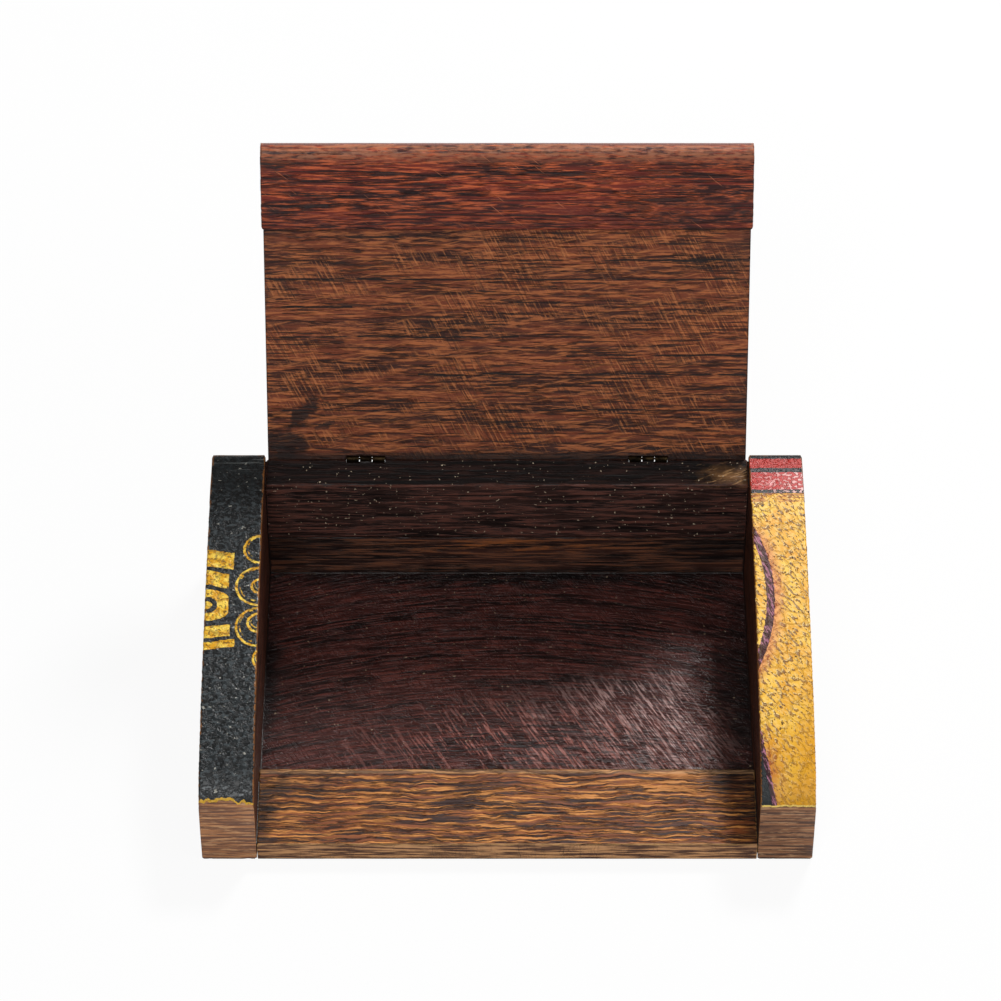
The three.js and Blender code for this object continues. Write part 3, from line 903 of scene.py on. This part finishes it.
def sillWood():
    # bare hardwood, rubbed by fingers: golden ridges between dark open pores, dark at both ends
    material, tree = startMaterial("bare hardwood sill, worn open-grained")
    where = place(tree)
    swirl = brushed(tree, brushed(tree, where, 4.0, 22.0), 1.5, 4.5)
    colour, _, fine = mottledWood(
        tree, swirl, ("#30130b", "#8c4c24", "#e89a4c"), (14.0, 0.8, 2.0), (34.0, 1.8, 9.0), seed=9)
    furrows = flecks(tree, swirl, (11.0, 0.8, 3.0), (0.55, 0.59), detail=4, seed=7)
    thin = flecks(tree, swirl, (22.0, 0.8, 3.0), (0.56, 0.60), seed=17)
    rearShade = spot(tree, where, **sillZones["rearShade"], ragged=0.3, core=0.0)
    colour = layAll(tree, colour, [
        (furrows, "#2b1813", 0.85), (thin, "#24130f", 0.7), (rearShade, "#5c2f1c", 0.35)])
    colour = layPatches(tree, where, colour, sillDirt, both(tree, furrows, 0.75, "ADD"))
    _, depth, _ = separate(tree, where)
    rim = both(tree, band(tree, depth, *sillZones["rim"]), both(tree, fine, 0.4, "ADD"))
    faceLines = flecks(tree, where, (16.0, 3.0, 0.9), (0.44, 0.58), detail=5, seed=27)
    faceWood = layOver(tree, "#4c2c1c", faceLines, "#c49060")
    colour = layAll(tree, colour, [
        (rim, "#d8a878", 0.45), (band(tree, depth, *sillZones["face"]), faceWood),
        (wornEdges(tree, where, 0.4, 0.6), "#c09458", 0.45)])
    height = relief(tree, anyOf(tree, furrows, thin), fine, 0.75)
    return endMaterial(material, colour, 0.5, height, 0.35, specular=0.35)


def pegWood():
    # split bamboo peg, pared flush: pale end grain darkened by handling
    material, tree = startMaterial("split bamboo peg, pared flush")
    where = addNode(tree, "ShaderNodeTexCoord").outputs["Object"]
    dots = flecks(tree, where, (0.004, 0.0004, 0.0004), (0.45, 0.6), detail=2)
    colour = layOver(tree, "#8b6236", dots, "#4e321c", 0.7)
    return endMaterial(material, colour, 0.6, dots, 0.05)


def tarnishedBrass():
    # rolled brass gone nearly black with age: dull, with brown metal only where it rubs
    material, tree = startMaterial("tarnished brass")
    where = addNode(tree, "ShaderNodeTexCoord").outputs["Object"]
    cloud = flecks(tree, where, (0.0022, 0.0016, 0.0016), (0.35, 0.65), detail=4)
    colour = layOver(tree, "#17120d", cloud, "#453722", 0.6)
    roughness = addNode(tree, "ShaderNodeMapRange", None, {0: cloud, 3: 0.65, 4: 0.45})
    return endMaterial(material, colour, roughness, cloud, 0.02, metallic=1.0)


def driedGlue():
    # hide glue squeezed out of the joint and left: nearly black, glassy, lumpy
    material, tree = startMaterial("dried hide glue")
    where = addNode(tree, "ShaderNodeTexCoord").outputs["Object"]
    cloud = flecks(tree, where, (0.0012, 0.0012, 0.0012), (0.3, 0.7))
    colour = layOver(tree, "#0c0706", cloud, "#23120d")
    return endMaterial(material, colour, 0.35, cloud, 0.08)


print("end blocks")
endBlock = {
    "levelEnd": 43.6, "bend1": (5.0, 50.2), "bend2Height": 40.0, "shoulder": 24.5, "rearRound": 2.5,
    "innerEdge": 82.0, "outerEdge": 99.2, "frontSkin": 0.9, "skin": 0.4, "innerMargin": 0.35,
    "innerTurn": 0.75, "underTurn": 0.7,
    "carve": {"pitch": 0.7, "waveLength": 9.0, "waveDepth": 0.05, "dentSize": 2.6, "dentDepth": 0.5,
              "seed": 3.0},
}
blockLow, blockHigh = nodeBox("left_end_block")
frontY, rearY, topZ = blockLow[1], blockHigh[1], blockHigh[2]


def archLine():
    # from the rear top, level, then down to the upright front
    r = endBlock["rearRound"]
    line = roundCorner((rearY, topZ - r), (rearY, topZ), (rearY - r, topZ))
    line.append((endBlock["levelEnd"], topZ))
    line += smoothLine(line[-1], endBlock["bend1"], (frontY, endBlock["bend2Height"]),
                       (frontY, endBlock["shoulder"]), 28)
    return line


arch = archLine()
archY = np.array([p[0] for p in arch])[::-1]
archZ = np.array([p[1] for p in arch])[::-1]
archRun = np.concatenate([[0], np.cumsum(np.hypot(*np.diff(np.array(arch), axis=0).T))])


def paintPlaceOf(points):
    # (across from the inner edge, along the arch), carried on down the outer side, the front and the back
    along = np.interp(-points[:, 1], -archY[::-1], archRun)
    onFront = points[:, 1] < frontY + endBlock["frontSkin"]
    behind = points[:, 1] > rearY - endBlock["skin"]
    along = np.where(onFront, archRun[-1] + endBlock["shoulder"] - points[:, 2], along)
    along = np.where(behind, points[:, 2] - arch[0][1], along)
    drop = np.interp(points[:, 1], archY, archZ) - points[:, 2] - endBlock["skin"]
    sideways = np.abs(points[:, 0]) - endBlock["innerEdge"]
    onSide = np.abs(points[:, 0]) > endBlock["outerEdge"]
    across = sideways + np.where(onSide & ~onFront, drop.clip(0), 0)
    return np.stack([across, along, np.zeros(len(points))], axis=1)


pegs = {
    "radius": 1.5, "hole": 1.75, "from": 72.0, "to": 99.8, "short": 0.12, "rearDepth": 4.5,
    "rearHeights": (36.0, 11.0), "sillDepth": 14.95, "sillHeight": 4.3,
}
pegPlaces = [(rearY - pegs["rearDepth"], height) for height in pegs["rearHeights"]]
pegPlaces.append((frontY + pegs["sillDepth"], pegs["sillHeight"]))


def makeEndBlock(side, paint, wood):
    node = f"{side}_end_block"
    low, high = nodeBox(node)
    section = [(frontY, 0.0), (rearY, 0.0)] + arch
    look = dict(endBlock["carve"], seed=endBlock["carve"]["seed"] + (low[0] > 0) * 5)
    holes = [(roundSection(centre, pegs["hole"]), (low[0] - 1, high[0] + 1)) for centre in pegPlaces]
    piece, points = carvedSolid(f"{side}_painted_end", section, (low[0], high[0]), look, holes)
    writeAttribute(piece.data, "paintPlace", paintPlaceOf(points))
    writeAttribute(piece.data, "grainPlace", points[:, [1, 2, 0]])
    outward = 1 if low[0] > 0 else -1
    inner = (endBlock["innerEdge"] + endBlock["innerMargin"]) * mm
    setDown(piece, node, "box", [paint, wood])
    facesWhere(piece, lambda middle, normal: (
        normal.z < -endBlock["underTurn"]
        or (normal.x * outward < -endBlock["innerTurn"] and abs(middle.x) < inner)))


makeEndBlock("left", paintedBlackEnd(), bareEndWood())
makeEndBlock("right", paintedYellowEnd(), bareEndWood())


print("boards")
boards = {
    "back_rail": {"piece": "worn_back_rail", "slot": "dark_wood", "finish": darkRailWood},
    "lower_back_board": {"piece": "streaked_back_board", "slot": "dark_wood", "finish": darkBoardWood},
    "floor_board": {"piece": "sanded_floor", "slot": "floor_wood", "finish": floorWood},
    "front_sill": {"piece": "worn_sill", "slot": "sill_wood", "finish": sillWood},
}
boardCarve = {
    "pitch": 0.8, "waveLength": 14.0, "waveDepth": 0.04, "dentSize": 3.0, "dentDepth": 0.25, "seed": 11.0,
}
closedSlope = math.radians(20.8)
sillFront = 7.3


def boardSection(node):
    low, high = nodeBox(node)
    rearTop, frontTop = high[2], high[2]
    if node == "back_rail":
        frontTop = high[2] - (high[1] - low[1]) * math.tan(closedSlope)
    if node == "front_sill":
        frontTop = sillFront
    return [(low[1], low[2]), (high[1], low[2]), (high[1], rearTop), (low[1], frontTop)]


hingeFit = {"spacing": 48.0, "half": 6.53, "groove": 0.96, "depth": 0.9, "plateFrom": 1.12, "reach": 4.7,
            "boxNecks": [(-6.53, -2.0), (2.0, 6.53)], "lidNecks": [(-2.3, 2.3)]}


def hingeSeats(wallFace, side, necks, turn=lambda y, z: (y, z)):
    # pockets for the leaves and their necks, and grooves for the knuckles, below the hinge line or above it
    def pocket(start, end):
        low, high = sorted((hingeZ + side * start, hingeZ + side * end))
        near, far = wallFace - hingeFit["depth"], wallFace + 1
        return [turn(*p) for p in ((near, low), (far, low), (far, high), (near, high))]

    whole = (-hingeFit["half"], hingeFit["half"])
    groove = [turn(*p) for p in roundSection((hingeY, hingeZ), hingeFit["groove"])]
    shapes = [(pocket(hingeFit["plateFrom"], hingeFit["reach"]), whole), (groove, whole)]
    shapes += [(pocket(0.0, hingeFit["plateFrom"] + 0.1), neck) for neck in necks]
    return [(shape, (middle + span[0], middle + span[1]))
            for middle in (-hingeFit["spacing"], hingeFit["spacing"]) for shape, span in shapes]


for node, board in boards.items():
    low, high = nodeBox(node)
    section = boardSection(node)
    look = dict(boardCarve, seed=boardCarve["seed"] + len(node))
    seats = hingeSeats(high[1], -1, hingeFit["boxNecks"]) if node == "back_rail" else ()
    piece, _ = carvedSolid(board["piece"], section, (low[0], high[0]), look, seats)
    setDown(piece, node, "box", [board["finish"]()])


print("lid")
lid = {
    "length": 112.0, "panel": 84.0, "proudRear": 4.0, "proudNose": 2.0, "nose": 5.5, "noseRound": 3.0,
    "overhang": 0.7, "innerLift": 0.51, "crown": 55.0, "rearRound": 1.5, "jointGap": 0.2,
    "crest": (-6.0, 49.4), "rearBends": ((24, 52.8), (8, 51.8)), "frontBends": ((-28, 45.6), (-39.5, 36)),
    "endMargin": 0.6, "paintFrom": 0.8,
    "carve": {"pitch": 0.7, "waveLength": 16.0, "waveDepth": 0.04, "dentSize": 3.0, "dentDepth": 0.25,
              "seed": 31.0},
}
railTop = nodeBox("back_rail")[1][2]
cornerY, cornerZ = rearY + lid["overhang"], railTop + lid["innerLift"]
slopeCos, slopeSin = math.cos(closedSlope), math.sin(closedSlope)


def lidToBoard(y, z):
    # a closed-lid point in the lid's own frame: (minus along from the hinge, off the inner face)
    dy, dz = y - cornerY, z - cornerZ
    return dy * slopeCos + dz * slopeSin, -dy * slopeSin + dz * slopeCos


def lidOuterLine():
    # the arch over the lid from its rear edge to the nose, in the lid's own frame
    r = lid["rearRound"]
    rear = [lidToBoard(*p) for p in roundCorner(
        (cornerY, lid["crown"] - r), (cornerY, lid["crown"]), (cornerY - r, lid["crown"]))]
    level = (endBlock["levelEnd"], lid["crown"])
    line = rear + [lidToBoard(*level)]
    line += [lidToBoard(*p) for p in smoothLine(level, *lid["rearBends"], lid["crest"], 10)]
    nose = (-(lid["length"] - lid["noseRound"] / 2), lid["nose"])
    bends = [lidToBoard(*p) for p in lid["frontBends"]]
    return line + smoothLine(lidToBoard(*lid["crest"]), *bends, nose, 14)


outerLine = lidOuterLine()
joint = -lid["panel"]


def splitAt(line, at):
    # the part of the outer line behind the joint, and the part before it
    behind = [p for p in line if p[0] > at]
    before = [p for p in line if p[0] <= at]
    a, b = behind[-1], before[0]
    t = (a[0] - at) / (a[0] - b[0])
    return behind + [(at, a[1] + t * (b[1] - a[1]))], before


panelOuter, _ = splitAt(outerLine, joint)
stripOuter = splitAt(outerLine, joint - lid["jointGap"])
noseEnd, noseRound, proud = -lid["length"], lid["noseRound"], -lid["proudNose"]
panelSection = [(joint, 0.0), (0.0, 0.0)] + panelOuter
stripSection = [(joint - lid["jointGap"], -lid["proudRear"]), stripOuter[0][-1]] + stripOuter[1][:-1]
stripSection += roundCorner(stripOuter[1][-1], (noseEnd, lid["nose"]), (noseEnd, lid["nose"] - noseRound))
stripSection += roundCorner((noseEnd, proud + noseRound), (noseEnd, proud), (noseEnd + noseRound, proud))

closedFrame = Matrix((
    (1, 0, 0, 0), (0, slopeCos, -slopeSin, cornerY), (0, slopeSin, slopeCos, cornerZ), (0, 0, 0, 1)))
hingeLine = Matrix.Translation((0, hingeY, hingeZ))
openTurn = hingeLine @ Matrix.Rotation(-lidSwing, 4, "X") @ hingeLine.inverted()
openFrame = openTurn @ closedFrame
outerY = np.array([p[0] for p in outerLine])[::-1]
outerRun = np.concatenate([[0], np.cumsum(np.hypot(*np.diff(np.array(outerLine), axis=0).T))])


def makeLidPiece(node, name, section, finish, paint):
    low, high = nodeBox(node)
    seats = hingeSeats(cornerY, 1, hingeFit["lidNecks"], lidToBoard) if node == "lid_panel" else ()
    piece, points = carvedSolid(name, section, (low[0], high[0]), lid["carve"], seats)
    mesh = piece.data
    writeAttribute(mesh, "grainPlace", points * (1, -1, 1))
    along = np.interp(-points[:, 1], -outerY[::-1], outerRun)
    writeAttribute(mesh, "paintPlace", np.stack([points[:, 0], along, 0 * along], axis=1))
    half = high[0] - lid["endMargin"]
    outside = [face.normal.z > 0 and abs(face.center.x) < half and face.center.z > lid["paintFrom"]
               for face in mesh.polygons]
    setDown(piece, node, "lid", [finish, paint], openFrame)
    mesh.polygons.foreach_set("material_index", outside)


lidPaint = paintedLidTop()
makeLidPiece("lid_panel", "sanded_lid_panel", panelSection, lidPanelWood(), lidPaint)
makeLidPiece("lid_front_strip", "red_lid_strip", stripSection, redStripWood(), lidPaint)


print("pegs, brads and glue")


def startTree(name, labels):
    # a Geometry Nodes tree with named inputs after the geometry
    tree = bpy.data.node_groups.new(name, "GeometryNodeTree")
    tree.interface.new_socket("Geometry", in_out="INPUT", socket_type="NodeSocketGeometry")
    tree.interface.new_socket("Geometry", in_out="OUTPUT", socket_type="NodeSocketGeometry")
    for label in labels:
        tree.interface.new_socket(label, in_out="INPUT", socket_type="NodeSocketFloat")
    return tree, addNode(tree, "NodeGroupInput").outputs


def endTree(tree, geometry, material):
    real = addNode(tree, "GeometryNodeRealizeInstances", None, {0: geometry})
    finished = addNode(tree, "GeometryNodeSetMaterial", None, {"Geometry": real, "Material": material})
    addNode(tree, "NodeGroupOutput", None, {0: finished})


def grow(name, tree, values, points, edges=()):
    # the tree's own piece over a set of seed points, as a plain mesh in metres
    mesh = bpy.data.meshes.new(name)
    mesh.from_pydata(points, edges, [])
    piece = addObject(name, mesh)
    modifier = piece.modifiers.new(name, "NODES")
    modifier.node_group = tree
    for item in tree.interface.items_tree:
        if item.item_type == "SOCKET" and item.in_out == "INPUT" and item.name in values:
            modifier[item.identifier] = values[item.name]
    bakeModifiers(piece)
    piece.data.transform(Matrix.Scale(mm, 4))
    return piece


skinSeeds = {"pegs": 11, "glue": 23}


def unevenSkin(tree, geometry, amount, size, seed):
    # pushes each point a little by a fixed noise
    offset = handShift(tree, addNode(tree, "GeometryNodeInputPosition"), amount, size, seed)
    return addNode(tree, "GeometryNodeSetPosition", None, {"Geometry": geometry, "Offset": offset})


def pegTree(material):
    # round pegs along X on every seed point, each turned its own way
    tree, inputs = startTree("pegs", ("Radius", "Length"))
    rod = addNode(tree, "GeometryNodeMeshCylinder", {"fill_type": "TRIANGLE_FAN"}, {
        "Vertices": 28, "Side Segments": 6, "Fill Segments": 4, "Radius": inputs["Radius"],
        "Depth": inputs["Length"]})
    lying = addNode(tree, "GeometryNodeTransform", None, {
        "Geometry": rod, "Rotation": (0, math.pi / 2, 0)})
    turned = addNode(tree, "FunctionNodeRandomValue", {"data_type": "FLOAT_VECTOR"}, {
        0: (0, 0, 0), 1: (math.tau, 0, 0), "Seed": skinSeeds["pegs"]})
    rods = addNode(tree, "GeometryNodeInstanceOnPoints", None, {
        "Points": inputs[0], "Instance": lying, "Rotation": turned})
    whole = addNode(tree, "GeometryNodeRealizeInstances", None, {0: rods})
    endTree(tree, unevenSkin(tree, whole, 0.12, 0.9, skinSeeds["pegs"]), material)
    return tree


def bradTree(material):
    # a domed head over a straight shank on every seed point, driven along -Y
    tree, inputs = startTree("brads", ("Head radius", "Head rise", "Shank radius", "Shank length"))
    ball = addNode(tree, "GeometryNodeMeshUVSphere", None, {
        "Segments": 20, "Rings": 12, "Radius": inputs["Head radius"]})
    flat = addNode(tree, "ShaderNodeMath", {"operation": "DIVIDE"}, {
        0: inputs["Head rise"], 1: inputs["Head radius"]})
    squashed = addNode(tree, "ShaderNodeCombineXYZ", None, {0: 1.0, 1: flat, 2: 1.0})
    head = addNode(tree, "GeometryNodeTransform", None, {"Geometry": ball, "Scale": squashed})
    rod = addNode(tree, "GeometryNodeMeshCylinder", None, {
        "Vertices": 16, "Radius": inputs["Shank radius"], "Depth": inputs["Shank length"]})
    half = addNode(tree, "ShaderNodeMath", {"operation": "MULTIPLY"}, {0: inputs["Shank length"], 1: -0.5})
    inward = addNode(tree, "ShaderNodeCombineXYZ", None, {1: half})
    shank = addNode(tree, "GeometryNodeTransform", None, {
        "Geometry": rod, "Rotation": (math.pi / 2, 0, 0), "Translation": inward})
    brad = addNode(tree, "GeometryNodeJoinGeometry")
    for part in (head, shank):
        tree.links.new(part.outputs[0], brad.inputs[0])
    driven = addNode(tree, "GeometryNodeInstanceOnPoints", None, {"Points": inputs[0], "Instance": brad})
    endTree(tree, driven, material)
    return tree


def glueTree(material):
    # a lumpy bead drawn along every seed line
    tree, inputs = startTree("glue", ("Bead radius", "Lump spacing"))
    path = addNode(tree, "GeometryNodeMeshToCurve", None, {0: inputs[0]})
    cut = addNode(tree, "GeometryNodeResampleCurve", {"mode": "LENGTH"}, {
        "Curve": path, "Length": inputs["Lump spacing"]})
    swell = addNode(tree, "FunctionNodeRandomValue", None, {
        "Min": 0.6, "Max": 1.25, "Seed": skinSeeds["glue"]})
    profile = addNode(tree, "GeometryNodeCurvePrimitiveCircle", None, {
        "Resolution": 10, "Radius": inputs["Bead radius"]})
    bead = addNode(tree, "GeometryNodeCurveToMesh", None, {
        "Curve": cut, "Profile Curve": profile, "Scale": swell.outputs["Value"],
        "Fill Caps": True})
    endTree(tree, unevenSkin(tree, bead, 0.3, 1.7, skinSeeds["glue"]), material)
    return tree


pegSeeds = [(side * (pegs["from"] + pegs["to"]) / 2, y, z) for side in (-1, 1) for y, z in pegPlaces]
pegPiece = grow("wooden_pegs", pegTree(pegWood()), {
    "Radius": pegs["radius"], "Length": pegs["to"] - pegs["from"] - pegs["short"]}, pegSeeds)
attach(pegPiece, "box")
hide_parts(*[name for name in frame["nodes"] if name.endswith("_peg")])

brass = tarnishedBrass()
brads = {
    "spacing": 13 / 3, "height": 2.8, "seat": 0.1, "head": 0.8, "rise": 0.35, "shank": 0.4, "length": 4.0,
}
bradLook = {"Head radius": brads["head"], "Head rise": brads["rise"], "Shank radius": brads["shank"],
            "Shank length": brads["length"]}
for body, side, face in (("box", -1, rearY), ("lid", 1, cornerY)):
    seeds = [(middle + offset, face + brads["seat"], hingeZ + side * brads["height"])
             for middle in (-hingeFit["spacing"], hingeFit["spacing"])
             for offset in (-brads["spacing"], brads["spacing"])]
    bradPiece = grow(f"{body}_brads", bradTree(brass), bradLook, seeds)
    if body == "lid":
        bradPiece.data.transform(Matrix.Scale(mm, 4) @ openTurn @ Matrix.Scale(1 / mm, 4))
    smooth(bradPiece)
    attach(bradPiece, body)
    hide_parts(*[name for name in frame["nodes"] if f"_hinge_{body}_brad_" in name])

for name, node in frame["nodes"].items():
    if name.endswith("_leaf") or name.endswith("_pin"):
        node.data.materials.clear()
        node.data.materials.append(brass)

glue = {
    "radius": 0.34, "spacing": 1.3, "inset": 81.95, "rearHalf": 81.5, "sunk": 0.4, "railDrop": 4.5,
    "slopeFrom": (0.4, 3.6), "slopeTo": (0.6, 0.5), "sillFrom": 0.5, "sillCrest": -42.0, "sillRear": -37.1,
}
# The slope's ends are given in from the rail's front or rear face, and down from its top.
(_, floorFront, _), (_, floorRear, floorTop) = nodeBox("floor_board")
sillTop, railFront = nodeBox("front_sill")[1][2], nodeBox("back_rail")[0][1]
slopeFrom, slopeTo = glue["slopeFrom"], glue["slopeTo"]
glueLines = []
for edgeX in (-glue["inset"], glue["inset"]):
    glueLines += [
        [(edgeX, floorFront, floorTop), (edgeX, floorRear, floorTop)],
        [(edgeX, railFront, floorTop), (edgeX, railFront, railTop - glue["railDrop"])],
        [(edgeX, railFront + slopeFrom[0], railTop - slopeFrom[1]),
         (edgeX, rearY - slopeTo[0], railTop - slopeTo[1])],
        [(edgeX, frontY + glue["sillFrom"], sillFront), (edgeX, glue["sillCrest"], sillTop - glue["sunk"])],
        [(edgeX, glue["sillRear"], floorTop), (edgeX, glue["sillRear"], sillTop - glue["sunk"])],
    ]
glueLines.append([(side * glue["rearHalf"], floorRear, floorTop) for side in (-1, 1)])
gluePoints = [point for line in glueLines for point in line]
glueEdges = [(2 * i, 2 * i + 1) for i in range(len(glueLines))]
gluePiece = grow("joint_glue", glueTree(driedGlue()), {
    "Bead radius": glue["radius"], "Lump spacing": glue["spacing"]}, gluePoints, glueEdges)
smooth(gluePiece)
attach(gluePiece, "box")


print("camera, light and floor")
view = {"place": (-2.2, -994.5, 1152.2), "tilt": 43.4, "lens": 161.8, "sensor": 36.0, "far": 20.0}
camera = addObject("camera", bpy.data.cameras.new("camera"))
camera.data.lens = view["lens"]
camera.data.sensor_width = view["sensor"]
camera.data.clip_end = view["far"]
camera.location = Vector(view["place"]) * mm
camera.rotation_euler = (math.radians(view["tilt"]), 0.0, 0.0)
bpy.context.scene.camera = camera

softboxes = [
    {"name": "key", "place": (0.52, 1.02, 1.31), "size": 0.34, "watts": 22.0},
    {"name": "front", "place": (-0.30, -1.30, 1.50), "size": 0.90, "watts": 14.0},
    {"name": "side", "place": (1.20, -0.50, 0.80), "size": 0.80, "watts": 4.0},
]
boxMiddle = Vector((0, 0.02, 0.05))
for softbox in softboxes:
    lamp = bpy.data.lights.new(softbox["name"], "AREA")
    lamp.shape = "DISK"
    lamp.size = softbox["size"]
    lamp.energy = softbox["watts"]
    holder = addObject(softbox["name"], lamp)
    holder.location = softbox["place"]
    aim = boxMiddle - Vector(softbox["place"])
    holder.rotation_euler = aim.to_track_quat("-Z", "Y").to_euler()

world = bpy.data.worlds.new("studio")
world.use_nodes = True
bpy.context.scene.world = world
sky = world.node_tree
sky.nodes.clear()
rays = addNode(sky, "ShaderNodeLightPath")
strength = addNode(sky, "ShaderNodeMapRange", None, {0: rays.outputs["Is Camera Ray"], 3: 0.2, 4: 1.0})
backdrop = addNode(sky, "ShaderNodeBackground", None, {"Color": (1, 1, 1, 1), "Strength": strength})
addNode(sky, "ShaderNodeOutputWorld", None, {"Surface": backdrop})


def paleFloor():
    # white sweep: plain white to the camera, with the box's own shadow still falling on it
    plainShare = 0.92
    material, tree = startMaterial("white paper sweep")
    paths = addNode(tree, "ShaderNodeLightPath")
    paper = addNode(tree, "ShaderNodeBsdfDiffuse", None, {"Color": (0.85, 0.85, 0.85, 1)})
    glow = addNode(tree, "ShaderNodeEmission", None, {"Color": (1, 1, 1, 1), "Strength": 1.0})
    share = addNode(tree, "ShaderNodeMath", {"operation": "MULTIPLY"}, {
        0: paths.outputs["Is Camera Ray"], 1: plainShare})
    mix = addNode(tree, "ShaderNodeMixShader", None, {0: share, 1: paper, 2: glow})
    addNode(tree, "ShaderNodeOutputMaterial", None, {"Surface": mix})
    return material


sweep = bpy.data.meshes.new("sweep")
halfSweep = 4.0
corners = [(x * halfSweep, y * halfSweep, 0) for x, y in ((-1, -1), (1, -1), (1, 1), (-1, 1))]
sweep.from_pydata(corners, [], [(0, 1, 2, 3)])
sweep.materials.append(paleFloor())
floor = addObject("sweep", sweep)

bpy.context.scene.view_settings.view_transform = "Standard"
